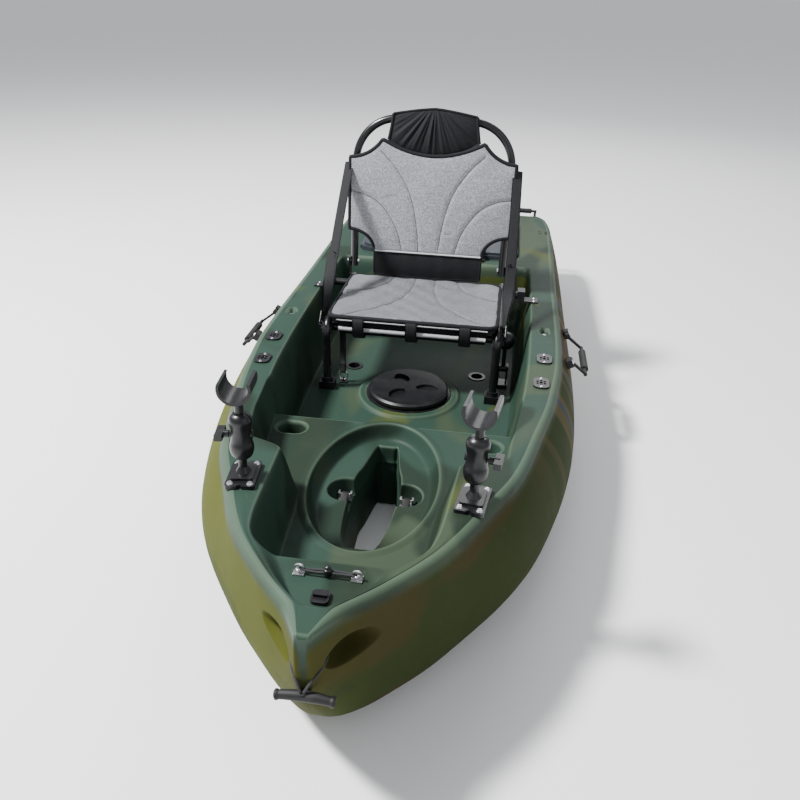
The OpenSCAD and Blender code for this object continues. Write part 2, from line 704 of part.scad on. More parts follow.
// ---- bow toggle and bungee ----

cord_y = scoop_y - 6;
cord_z = scoop_z;
toggle_y = -half_len - 15;
toggle_z = 231;
toggle_r = 8;
// Swept tube along points, as one closed polyhedron with square-cut ends
function unit(v) = v / norm(v);
function frame_at(p, i) =
    let(t = unit(p[min(i + 1, len(p) - 1)] - p[max(i - 1, 0)]),
        a = abs(t[2]) > 0.9 ? [1, 0, 0] : [0, 0, 1], r = unit(cross(t, a)))
    [r, cross(r, t)];
module cord(p, r, sides = 8) {
    n = len(p);
    pts = [for (i = [0:n - 1]) let(f = frame_at(p, i)) for (k = [0:sides - 1])
        p[i] + r * (cos(360 * k / sides) * f[0] + sin(360 * k / sides) * f[1])];
    faces = [for (i = [0:n - 2]) for (k = [0:sides - 1]) let(j = (k + 1) % sides)
        for (f = [[i * sides + k, (i + 1) * sides + k, (i + 1) * sides + j],
            [i * sides + k, (i + 1) * sides + j, i * sides + j]]) f];
    ends = [[for (k = [0:sides - 1]) k], [for (k = [sides - 1:-1:0]) (n - 1) * sides + k]];
    polyhedron(pts, concat(faces, ends));
}
cord_r = 2.5;
cord_route = [[-5, toggle_y, toggle_z + toggle_r + 2.6], [-15, toggle_y + 2, 249], [-25, toggle_y + 11, 257],
    [-33, toggle_y + 24, 263], [-34, toggle_y + 38, cord_z], [-28, cord_y - 9, cord_z], [-16, cord_y, cord_z],
    [0, cord_y, cord_z], [16, cord_y, cord_z], [28, cord_y - 9, cord_z], [34, toggle_y + 38, cord_z],
    [33, toggle_y + 24, 263], [25, toggle_y + 11, 257], [15, toggle_y + 2, 249],
    [5, toggle_y, toggle_z + toggle_r + 2.6]];
module bow_cord() {
    color([0.05, 0.05, 0.05]) cord(cord_route, cord_r);
}
toggle_end = toggle_l / 2 + toggle_r;
module bow_toggle() {
    color([0.08, 0.08, 0.08])
    translate([3, toggle_y, toggle_z]) {
        rotate([0, 90, 0]) rotate_extrude($fn = round) polygon([[0, -toggle_end],
            [toggle_r * 0.55, -toggle_end], [toggle_r + 1, 4 - toggle_end], [toggle_r + 1, 12 - toggle_end],
            [toggle_r, 15 - toggle_end], [toggle_r, toggle_end - 15], [toggle_r + 1, toggle_end - 12],
            [toggle_r + 1, toggle_end - 4], [toggle_r * 0.55, toggle_end], [0, toggle_end]]);
    }
}

bungee_y = -0.876 * half_len;
bungee_half = 46;
module bungee_eyes() {
    color([0.6, 0.6, 0.6])
    for (s = [-1, 1]) translate([s * bungee_half, bungee_y, bow_tray_h]) {
        translate([-9, -8, 0]) cube([18, 16, 3]);
        translate([0, 0, 9]) rotate([90, 0, 0]) difference() {
            cylinder(h = 4, r = 9, center = true, $fn = round);
            cylinder(h = 8, r = 5.6, center = true, $fn = round);
        }
    }
}
bungee_z = bow_tray_h + 9;
module bungee_cord() {
    color([0.05, 0.05, 0.05])
    for (y = [-1, 1]) translate([0, bungee_y + y * 5.6, bungee_z])
        rotate([0, 90, 0]) cylinder(h = 2 * bungee_half - 4, r = 2.6, center = true, $fn = small);
    color([0.05, 0.05, 0.05])
    for (s = [-1, 1]) translate([s * (bungee_half - 2), bungee_y, bungee_z])
        rotate([90, 0, 0]) cylinder(h = 16.4, r = 2.6, center = true, $fn = small);
}
module cord_lock() {
    color([0.09, 0.09, 0.09])
    translate([0, bungee_y, bungee_z]) difference() {
        union() {
            rotate([0, 90, 0]) linear_extrude(13, center = true) rounded(13, 21, 5);
            translate([0, 0, 5]) cylinder(h = 10, r = 5, $fn = small);
        }
        for (y = [-1, 1]) translate([0, y * 5.6, 0]) rotate([0, 90, 0])
            cylinder(h = 30, r = 2.65, center = true, $fn = small);
    }
}

// ---- seat frame ----

bend_r = 40;
foot_z = floor_h + 8;
module elbow(r, a, extra = 0) {
    rotate_extrude(angle = a, $fn = fine) translate([r, 0]) circle(tube_r + extra, $fn = round);
}
module seat_side(s) {
    translate([s * seat_half, seat_y, foot_z]) cylinder(h = seat_z - bend_r - foot_z, r = tube_r, $fn = round);
    translate([s * seat_half, seat_y + bend_r, seat_z - bend_r])
        rotate([90, 0, 90]) rotate(90) elbow(bend_r, 90);
    translate([s * seat_half, seat_y + bend_r, seat_z]) rotate([-90, 0, 0])
        cylinder(h = seat_depth - bend_r + 34, r = tube_r, $fn = round);
}
cross_front_y = seat_y + 30;
cross_z = seat_z - 16;
bracket_x = inner_at(0.2) - 30;
module seat_frame() {
    color([0.08, 0.08, 0.09]) {
        for (s = [-1, 1]) seat_side(s);
        translate([0, cross_front_y, seat_z - 22]) rotate([0, 90, 0])
            cylinder(h = 2 * seat_half, r = tube_r - 1, center = true, $fn = round);
        translate([0, pivot_y - 30, seat_z]) rotate([0, 90, 0])
            cylinder(h = 2 * bracket_x + 12, r = tube_r - 0.5, center = true, $fn = round);
        // lugs that carry the back
        for (s = [-1, 1]) translate([s * (hoop_half + tube_r + 3.1), pivot_y + pivot_off, seat_z]) difference() {
            translate([-2.5, -13, 0]) cube([5, 26, pivot_rise + 13]);
            translate([0, 0, pivot_rise]) rotate([0, 90, 0]) cylinder(h = 30, r = 4.02, center = true, $fn = small);
        }
    }
}
module foot_blocks() {
    color([0.05, 0.05, 0.06])
    for (s = [-1, 1]) translate([s * seat_half, seat_y, floor_h]) difference() {
        union() {
            translate([-21, -19, 0]) cube([42, 38, 22]);
            translate([0, 0, 20]) cylinder(h = 14, r = tube_r + 5, $fn = round);
        }
        translate([0, 0, 8]) cylinder(h = 60, r = tube_r + 0.05, $fn = round);
    }
}
bracket_h = 30;
flange_l = 42;
flange_z = deck_z(0.2) - seat_z + 0.05;
module side_brackets() {
    color([0.05, 0.05, 0.05])
    for (s = [-1, 1]) translate([s * bracket_x, pivot_y - 30, seat_z]) {
        difference() {
            translate([-11, -18, -bracket_h / 2 - 3]) cube([22, 36, bracket_h + 6]);
            rotate([0, 90, 0]) cylinder(h = 80, r = tube_r - 0.45, center = true, $fn = round);
        }
        translate([s > 0 ? 10 : -10 - flange_l, -18, flange_z]) cube([flange_l, 36, 5]);
    }
}
module bracket_screws() {
    color("silver")
    for (s = [-1, 1]) for (y = [-1, 1])
        translate([s * (bracket_x + flange_l - 2), pivot_y - 30 + y * 11, seat_z + flange_z + 5.03]) screw(2, 4, 0);
}

pivot_rise = 56;
pivot_z = seat_z + pivot_rise;
hoop_half = seat_half - 5;
pivot_off = 14;
// Straight tubes run this much thinner than the bends they end in
weld = 0.15;
module at_back() {
    translate([0, pivot_y + pivot_off, pivot_z]) rotate([-recline, 0, 0]) children();
}
// The back's hoop, with its tube thicker by extra
module hoop(extra = 0) {
    for (s = [-1, 1]) translate([s * hoop_half, 0, -14])
        cylinder(h = back_h - hoop_r + 15, r = tube_r - weld + extra, $fn = round);
    for (s = [-1, 1]) translate([s * (hoop_half - hoop_r), 0, back_h - hoop_r])
        rotate([90, 0, 0]) rotate(s > 0 ? 0 : 90) elbow(hoop_r, 90, extra);
    translate([0, 0, back_h]) rotate([0, 90, 0])
        cylinder(h = 2 * (hoop_half - hoop_r) + 2, r = tube_r - weld + extra, center = true, $fn = round);
}
module back_frame() {
    color([0.09, 0.09, 0.1]) at_back() difference() {
        hoop();
        rotate([0, 90, 0]) cylinder(h = 600, r = 4.05, center = true, $fn = small);
    }
}
module back_bolts() {
    color("silver")
    for (s = [-1, 1]) translate([s * hoop_half, pivot_y + pivot_off, pivot_z]) rotate([0, s * 90, 0]) {
        translate([0, 0, -tube_r - 1]) cylinder(h = tube_d + 7.8, r = 4, $fn = small);
        translate([0, 0, -tube_r - 4.3]) cylinder(h = 4, r = 7, $fn = small);
        translate([0, 0, tube_r + 5.7]) cylinder(h = 4, r = 7, $fn = small);
    }
}

// ---- seat fabric, as plain solids ----

pan_w = 2 * seat_half - 10;
pan_l = seat_depth - 24;
module seat_pan() {
    color([0.55, 0.57, 0.6])
    translate([0, seat_y + 4, seat_z + tube_r + clear]) linear_extrude(pad_t)
        translate([0, pan_l / 2]) rounded(pan_w, pan_l, 24);
}
module pan_front() {
    color([0.08, 0.08, 0.08])
    translate([0, seat_y - 2, seat_z - 36]) {
        for (x = [-0.62, 0, 0.62]) translate([x * seat_half - 19, 18.5, 2]) difference() {
            translate([0, -3.5, -4]) cube([38, 34, 49]);
            translate([-5, 13.5, 12]) rotate([0, 90, 0]) cylinder(h = 60, r = tube_r - 0.9, $fn = round);
        }
    }
}
head_drop = 66;
back_low = 42;
corner_cut = 76;
back_half = hoop_half + tube_r;
// Outline of the back pad: concave upper corners and quarter-round lower corners
module back_outline() {
    difference() {
        translate([-back_half, back_low]) square([2 * back_half, back_h - back_low - head_drop - 2]);
        for (s = [-1, 1]) {
            translate([s * (back_half + 8), back_h - 2]) circle(118, $fn = fine);
            translate([s * back_half, back_low]) circle(corner_cut, $fn = fine);
        }
    }
}
module back_pad() {
    color([0.62, 0.64, 0.67]) at_back()
        translate([0, -tube_r - clear, 0]) rotate([90, 0, 0]) linear_extrude(pad_t) back_outline();
}
head_half = 120;
module head_panel() {
    color([0.1, 0.1, 0.12]) at_back() difference() {
        union() {
            translate([0, tube_r + 4, back_h - head_drop]) rotate([90, 0, 0]) linear_extrude(2 * tube_r + 8)
                polygon([[-head_half, 0], [head_half, 0], [head_half - 4, 78], [0, 100], [4 - head_half, 78]]);
        }
        hoop(clear);
        translate([-head_half * 2, -tube_r, back_h - head_drop - 1])
            cube([head_half * 4, tube_d, head_drop - tube_r - 4]);
    }
}
lumbar_drop = 26;
module lumbar_band() {
    color([0.07, 0.07, 0.09]) at_back()
        translate([0, -tube_r - clear, -lumbar_drop]) rotate([90, 0, 0]) linear_extrude(pad_t - 5)
            translate([-back_half + corner_cut + 4, 0])
                square([2 * (back_half - corner_cut - 4), back_low + lumbar_drop - 0.1]);
}

// Side straps from the back's upper corners to the front of the seat rails
strap_x = seat_half + tube_r + 3.4;
strap_top = [pivot_y + pivot_off + 22, pivot_z + back_h - 150];
strap_low = [seat_y + 46, seat_z + 8];
module side_strap(s) {
    d = strap_top - strap_low;
    a = atan2(d[1], d[0]);
    color([0.07, 0.07, 0.07])
    translate([s * strap_x, strap_low[0], strap_low[1]]) rotate([a, 0, 0])
        translate([-1.2, 0, -strap_w / 2]) cube([2.4, norm(d), strap_w]);
}
strap_dir = atan2(strap_top[1] - strap_low[1], strap_top[0] - strap_low[0]);
module side_strap_l() side_strap(-1);
module side_strap_r() side_strap(1);
module strap_buckles() {
    color([0.05, 0.05, 0.05])
    for (s = [-1, 1]) translate([s * strap_x, strap_low[0], strap_low[1]]) rotate([strap_dir, 0, 0])
        difference() {
            translate([-3, -36, -strap_w / 2 - 4]) cube([6, 35.8, strap_w + 8]);
            for (y = [-28, -12]) translate([-10, y - 4, -strap_w / 2]) cube([20, 7, strap_w]);
        }
}
hold_x = -0.435 * half_beam;
module hold_strap() {
    color([0.55, 0.56, 0.57])
    translate([hold_x, cross_front_y + 6, floor_h]) {
        translate([-12, -10, 0]) cube([24, 20, 4]);
        translate([-2, -6, 3]) cube([4, 12, 12]);
        translate([0, 0, 22]) rotate([90, 0, 0]) rotate_extrude($fn = round) translate([14, 0]) circle(2.5, $fn = small);
        translate([-9, -2, 30]) cube([18, 4, seat_z - 22 - tube_r + 1 - floor_h - 30]);
    }
}

// ---- steering ----

lever_x = inner_at(0) - 62;
lever_y = 0.02 * half_len;
lever_z = floor_h + 52;
module steer_base() {
    color([0.05, 0.05, 0.05])
    translate([lever_x, lever_y, floor_h]) {
        translate([-16, -20, 0]) cube([32, 40, 8]);
        for (x = [-1, 1]) translate([x * 12 - 2.5, -11, 4]) cube([5, 22, 60]);
        translate([0, 0, lever_z - floor_h]) rotate([0, 90, 0]) cylinder(h = 32, r = 4, center = true, $fn = small);
    }
}
module steer_lever() {
    color([0.06, 0.06, 0.07])
    translate([lever_x, lever_y, lever_z]) difference() {
        union() {
            rotate([0, 90, 0]) cylinder(h = 18, r = 9.5, center = true, $fn = round);
            cylinder(h = lever_l, r = 5.5, $fn = small);
            translate([0, 0, lever_l - 4]) sphere(knob_r, $fn = round);
        }
        rotate([0, 90, 0]) cylinder(h = 60, r = 4.05, center = true, $fn = small);
    }
}

transom_z = keel_at(1) + 30;
rudder_y = half_len + 34;
module rudder_bracket() {
    color([0.35, 0.36, 0.37])
    translate([0, half_len, 0]) {
        translate([-34, 0.2, transom_z + 30]) cube([68, 5, 120]);
        for (z = [transom_z + 40, transom_z + 124]) translate([0, 0, z]) difference() {
            union() {
                translate([-15, 3, 0]) cube([30, 31, 8]);
                translate([0, 34, 0]) cylinder(h = 8, r = 15, $fn = round);
            }
            translate([0, 34, -5]) cylinder(h = 30, r = 5.02, $fn = round);
        }
    }
}
head_low = transom_z + 48.3;
head_high = transom_z + 123.7;
module rudder_head() {
    color([0.07, 0.07, 0.07])
    translate([0, rudder_y + 44, head_low + 24]) rotate([0, 90, 0])
        cylinder(h = blade_t + 12, r = 4, center = true, $fn = small);
    color([0.07, 0.07, 0.07])
    translate([0, rudder_y, 0]) difference() {
        union() {
            translate([0, 0, head_low]) cylinder(h = head_high - head_low, r = 13, $fn = round);
            translate([-blade_t / 2 - 7, 0, head_low]) cube([blade_t + 14, 66, 46]);
            translate([-46, -7, head_high - 14]) cube([92, 14, 14]);
        }
        translate([0, 0, 0]) cylinder(h = 500, r = 5.05, $fn = round);
        translate([-blade_t / 2 - 0.3, 18, head_low - 5]) cube([blade_t + 0.6, 90, 80]);
    }
}
blade_z = head_low + 24;
module rudder_blade() {
    color([0.09, 0.09, 0.1])
    translate([0, rudder_y + 44, blade_z]) difference() {
        union() {
            rotate([0, 90, 0]) cylinder(h = blade_t, r = 21, center = true, $fn = round);
            rotate([0, 90, 0]) linear_extrude(blade_t, center = true)
                polygon([[-2, -20], [-2, 20], [40, 34], [blade_z - 34, 92], [blade_z - 20, 84],
                    [blade_z - 20, 10], [60, -19]]);
        }
        rotate([0, 90, 0]) cylinder(h = 90, r = 4.05, center = true, $fn = small);
    }
}
module rudder_pins() {
    color("silver") {
        translate([0, rudder_y, transom_z + 34]) cylinder(h = 104, r = 5, $fn = round);
        translate([0, rudder_y, transom_z + 132.1]) cylinder(h = 5, r = 9, $fn = round);
    }
}

hull();
scupper_liners();
hatch_ring();
hatch_seal();
hatch_lid();
rear_lid();
rear_gasket();
rear_hinges();
rear_latch_l();
rear_latch_r();
drain_plug();
rail_plates();
rail_screws();
stern_inserts();
foot_blocks();
side_brackets();
bracket_screws();
rod_base_l();
rod_arm_l();
rod_knob_l();
rod_cradle_l();
rod_base_r();
rod_arm_r();
rod_knob_r();
rod_cradle_r();
rod_screws();
pull_l();
pull_r();
pull_hooks_l();
pull_hooks_r();
pull_posts();
handle_pads();
handle_screws();
handle_l();
handle_r();
stern_handle_l();
stern_handle_r();
bow_cord();
bow_toggle();
bungee_cord();
bungee_eyes();
cord_lock();
seat_frame();
back_frame();
back_bolts();
seat_pan();
pan_front();
back_pad();
head_panel();
lumbar_band();
side_strap_l();
side_strap_r();
strap_buckles();
hold_strap();
steer_base();
steer_lever();
rudder_bracket();
rudder_head();
rudder_blade();
rudder_pins();
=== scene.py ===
"""Visual model of a sit-on-top pedal boat: hull, framed mesh seat, rod holders, hatches and handles.

Every size is in millimetres until a mesh is made, when it becomes metres.
"""

import json
import logging
import math
from dataclasses import dataclass, field
from enum import Enum
from typing import Any, Callable, Sequence

import bpy
import numpy as np
from mathutils import Matrix, Vector
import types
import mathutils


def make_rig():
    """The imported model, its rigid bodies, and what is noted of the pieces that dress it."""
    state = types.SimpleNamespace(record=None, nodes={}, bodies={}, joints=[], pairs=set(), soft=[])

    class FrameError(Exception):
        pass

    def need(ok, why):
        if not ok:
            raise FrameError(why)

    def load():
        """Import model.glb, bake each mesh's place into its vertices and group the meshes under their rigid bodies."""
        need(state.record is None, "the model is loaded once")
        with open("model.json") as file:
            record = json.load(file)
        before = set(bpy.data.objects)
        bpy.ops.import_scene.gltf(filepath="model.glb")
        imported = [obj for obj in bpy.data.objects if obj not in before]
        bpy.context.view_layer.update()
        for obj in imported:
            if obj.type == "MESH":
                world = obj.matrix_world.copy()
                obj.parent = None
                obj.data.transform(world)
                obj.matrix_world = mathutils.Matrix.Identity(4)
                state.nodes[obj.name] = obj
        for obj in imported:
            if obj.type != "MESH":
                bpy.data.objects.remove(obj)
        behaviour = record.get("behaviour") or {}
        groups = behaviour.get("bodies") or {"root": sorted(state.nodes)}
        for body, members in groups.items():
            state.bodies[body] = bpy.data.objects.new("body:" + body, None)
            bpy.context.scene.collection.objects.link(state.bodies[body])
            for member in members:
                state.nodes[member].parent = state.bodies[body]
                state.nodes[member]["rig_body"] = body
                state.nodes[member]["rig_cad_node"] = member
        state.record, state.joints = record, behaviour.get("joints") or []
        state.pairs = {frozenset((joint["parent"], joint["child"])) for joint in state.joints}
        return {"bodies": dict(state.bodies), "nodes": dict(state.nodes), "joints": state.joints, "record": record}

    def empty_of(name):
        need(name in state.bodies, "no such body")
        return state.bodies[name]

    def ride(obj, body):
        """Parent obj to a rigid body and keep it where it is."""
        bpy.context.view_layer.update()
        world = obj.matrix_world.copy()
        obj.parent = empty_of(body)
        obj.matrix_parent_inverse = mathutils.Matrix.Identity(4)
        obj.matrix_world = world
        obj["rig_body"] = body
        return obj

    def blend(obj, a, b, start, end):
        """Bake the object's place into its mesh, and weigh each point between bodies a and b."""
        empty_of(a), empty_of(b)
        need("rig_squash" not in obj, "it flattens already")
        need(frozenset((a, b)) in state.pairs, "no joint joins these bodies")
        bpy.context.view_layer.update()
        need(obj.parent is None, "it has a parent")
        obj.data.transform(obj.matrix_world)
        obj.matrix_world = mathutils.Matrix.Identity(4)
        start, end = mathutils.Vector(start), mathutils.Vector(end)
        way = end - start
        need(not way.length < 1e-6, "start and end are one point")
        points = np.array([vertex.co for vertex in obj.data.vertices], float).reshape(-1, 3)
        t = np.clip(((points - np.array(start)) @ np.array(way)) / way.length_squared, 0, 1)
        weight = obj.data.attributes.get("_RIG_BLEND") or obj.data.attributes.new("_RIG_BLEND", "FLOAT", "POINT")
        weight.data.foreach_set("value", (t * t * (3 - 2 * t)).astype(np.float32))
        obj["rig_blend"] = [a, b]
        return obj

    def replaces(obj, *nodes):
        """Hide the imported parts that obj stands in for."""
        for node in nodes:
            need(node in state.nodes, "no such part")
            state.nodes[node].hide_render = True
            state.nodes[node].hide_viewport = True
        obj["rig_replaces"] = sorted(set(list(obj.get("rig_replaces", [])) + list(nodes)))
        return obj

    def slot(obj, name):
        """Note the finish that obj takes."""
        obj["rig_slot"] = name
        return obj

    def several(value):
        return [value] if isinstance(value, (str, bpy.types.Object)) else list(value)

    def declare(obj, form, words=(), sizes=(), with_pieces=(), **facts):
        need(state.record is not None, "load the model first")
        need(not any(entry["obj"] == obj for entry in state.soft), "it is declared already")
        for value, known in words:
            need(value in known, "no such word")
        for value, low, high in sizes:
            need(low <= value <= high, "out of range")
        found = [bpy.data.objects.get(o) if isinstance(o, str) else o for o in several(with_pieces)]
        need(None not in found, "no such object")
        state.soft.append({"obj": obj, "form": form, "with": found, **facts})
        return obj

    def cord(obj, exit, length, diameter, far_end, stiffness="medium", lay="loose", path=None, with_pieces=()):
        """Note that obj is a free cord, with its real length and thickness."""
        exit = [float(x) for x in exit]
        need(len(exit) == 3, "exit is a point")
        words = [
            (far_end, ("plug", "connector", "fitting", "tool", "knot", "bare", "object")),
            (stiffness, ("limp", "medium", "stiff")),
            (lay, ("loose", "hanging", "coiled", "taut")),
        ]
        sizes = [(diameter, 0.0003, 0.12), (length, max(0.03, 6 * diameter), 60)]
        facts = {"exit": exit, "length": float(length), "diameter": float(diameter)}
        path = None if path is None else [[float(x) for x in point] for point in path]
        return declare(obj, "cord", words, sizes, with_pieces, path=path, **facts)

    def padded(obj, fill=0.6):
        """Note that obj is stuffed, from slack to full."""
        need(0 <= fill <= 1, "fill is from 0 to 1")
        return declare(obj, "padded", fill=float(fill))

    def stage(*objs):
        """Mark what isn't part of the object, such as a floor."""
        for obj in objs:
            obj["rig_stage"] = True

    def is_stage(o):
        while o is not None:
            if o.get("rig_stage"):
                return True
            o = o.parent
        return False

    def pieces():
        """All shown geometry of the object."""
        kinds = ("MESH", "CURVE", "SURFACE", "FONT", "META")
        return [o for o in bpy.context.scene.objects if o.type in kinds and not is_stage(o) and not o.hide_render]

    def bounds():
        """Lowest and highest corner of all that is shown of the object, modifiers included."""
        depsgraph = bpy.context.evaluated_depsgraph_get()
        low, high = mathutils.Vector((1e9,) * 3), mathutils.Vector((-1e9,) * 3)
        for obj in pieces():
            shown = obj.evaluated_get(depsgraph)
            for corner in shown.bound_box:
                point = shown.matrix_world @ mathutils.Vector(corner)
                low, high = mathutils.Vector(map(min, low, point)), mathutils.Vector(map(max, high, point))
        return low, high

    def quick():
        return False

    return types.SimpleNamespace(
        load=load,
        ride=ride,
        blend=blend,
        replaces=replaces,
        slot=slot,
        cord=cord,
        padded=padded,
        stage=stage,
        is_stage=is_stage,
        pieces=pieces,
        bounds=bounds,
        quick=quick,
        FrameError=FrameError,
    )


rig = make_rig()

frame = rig.load()
CAD_BOX = [list(corner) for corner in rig.bounds()]
log = logging.getLogger("pedal_boat")
MM = 0.001
Array = np.ndarray
Colour = tuple[float, float, float]


class Side(Enum):
    """Which side of the boat a piece sits on, as the sign of X."""

    LEFT = -1
    RIGHT = 1

    @property
    def letter(self) -> str:
        """Last letter of the names on this side."""
        return "l" if self is Side.LEFT else "r"


# ---------------------------------------------------------------- shader expressions


class Link:
    """A shader socket that Python arithmetic can be written with."""

    def __init__(self, paint: "Paint", socket: bpy.types.NodeSocket) -> None:
        """Keeps the socket and the paint whose tree it is in."""
        self.paint = paint
        self.socket = socket

    def _math(self, operation: str, first: Any, second: Any = 0.0) -> "Link":
        """One Math node on two values."""
        return self.paint.node("ShaderNodeMath", {"operation": operation}, {0: first, 1: second})

    def __add__(self, other: Any) -> "Link":
        """Sum."""
        return self._math("ADD", self, other)

    def __sub__(self, other: Any) -> "Link":
        """Difference."""
        return self._math("SUBTRACT", self, other)

    def __mul__(self, other: Any) -> "Link":
        """Product."""
        return self._math("MULTIPLY", self, other)

    def __abs__(self) -> "Link":
        """Size without its sign."""
        return self._math("ABSOLUTE", self)

    __radd__ = __add__
    __rmul__ = __mul__

    def sin(self) -> "Link":
        """Sine of the value in radians."""
        return self._math("SINE", self)

    def frac(self) -> "Link":
        """Part after the decimal point."""
        return self._math("FRACT", self)

    def larger(self, other: Any) -> "Link":
        """The larger of two values."""
        return self._math("MAXIMUM", self, other)

    def step(self, low: float, high: float) -> "Link":
        """Smooth step from 0 at low to 1 at high."""
        settings = {"interpolation_type": "SMOOTHSTEP"}
        return self.paint.node("ShaderNodeMapRange", settings, {0: self, 1: low, 2: high})


class Paint:
    """A procedural material in the making."""

    def __init__(self, name: str) -> None:
        """Starts an empty material of that name."""
        self.material = bpy.data.materials.new(name)
        self.material.use_nodes = True
        self.tree = self.material.node_tree
        self.tree.nodes.clear()

    def node(self, kind: str, settings: dict[str, Any] | None = None,
             inputs: dict[Any, Any] | None = None, out: int | None = 0) -> Link | None:
        """Adds a node.

        Args:
            kind: Blender's name for the node type.
            settings: attributes that are set first.
            inputs: socket to value or link.
            out: the output that is returned, or none for a node that ends the tree.

        Returns:
            The chosen output as a Link, or nothing.
        """
        made = self.tree.nodes.new(kind)
        for key, value in (settings or {}).items():
            setattr(made, key, value)
        for key, value in (inputs or {}).items():
            if isinstance(value, Link):
                self.tree.links.new(value.socket, made.inputs[key])
            else:
                made.inputs[key].default_value = value
        return None if out is None else Link(self, made.outputs[out])

    def place(self, scale: Sequence[float] = (1, 1, 1), turn: Sequence[float] = (0, 0, 0)) -> Link:
        """Object coordinates, scaled and then turned by angles in radians."""
        where = self.node("ShaderNodeTexCoord", out="Object")
        return self.node("ShaderNodeMapping", None, {0: where, "Scale": tuple(scale), "Rotation": tuple(turn)})

    def flow(self) -> tuple[Link, Link]:
        """The piece's own run and width coordinates, in metres."""
        where = self.node("ShaderNodeUVMap", {"uv_map": "run"})
        split = self.node("ShaderNodeSeparateXYZ", None, {0: where})
        return split, Link(self, split.socket.node.outputs[1])

    def axes(self, where: Link) -> tuple[Link, Link, Link]:
        """The three parts of a vector."""
        split = self.node("ShaderNodeSeparateXYZ", None, {0: where}).socket.node
        return tuple(Link(self, output) for output in split.outputs)

    def noise(self, where: Link, scale: float, detail: float = 2.0, rough: float = 0.5, bend: float = 0.0) -> Link:
        """Cloudy noise, about 0.5 on average."""
        return self.node("ShaderNodeTexNoise", None, {
            "Vector": where, "Scale": scale, "Detail": detail, "Roughness": rough, "Distortion": bend})

    def mix(self, share: Any, first: Any, second: Any) -> Link:
        """Colour between first and second."""
        def coloured(value: Any) -> Any:
            return value if isinstance(value, Link) else (*value, 1.0)
        return self.node("ShaderNodeMix", {"data_type": "RGBA"}, {
            0: share, 6: coloured(first), 7: coloured(second)}, out=2)

    def attribute(self, name: str) -> Link:
        """A number stored on the mesh."""
        return self.node("ShaderNodeAttribute", {"attribute_name": name}, out=2)

    def bump(self, height: Link, depth: float, strength: float = 1.0, under: Link | None = None) -> Link:
        """Normal bumped by a height field; depth is in metres."""
        inputs = {"Height": height, "Distance": depth, "Strength": strength}
        if under is not None:
            inputs["Normal"] = under
        return self.node("ShaderNodeBump", None, inputs)

    def surface(self, **sockets: Any) -> bpy.types.Material:
        """Ends the material in one Principled shader.

        Args:
            sockets: socket name with underscores for spaces, to value, colour or link.

        Returns:
            The finished material.
        """
        inputs = {}
        for key, value in sockets.items():
            name = key.replace("_", " ")
            name = {"Specular": "Specular IOR Level"}.get(name, name)
            inputs[name] = (*value, 1.0) if isinstance(value, tuple) and len(value) == 3 else value
        shader = self.node("ShaderNodeBsdfPrincipled", None, inputs)
        self.node("ShaderNodeOutputMaterial", None, {0: shader}, out=None)
        return self.material


# ---------------------------------------------------------------- finishes


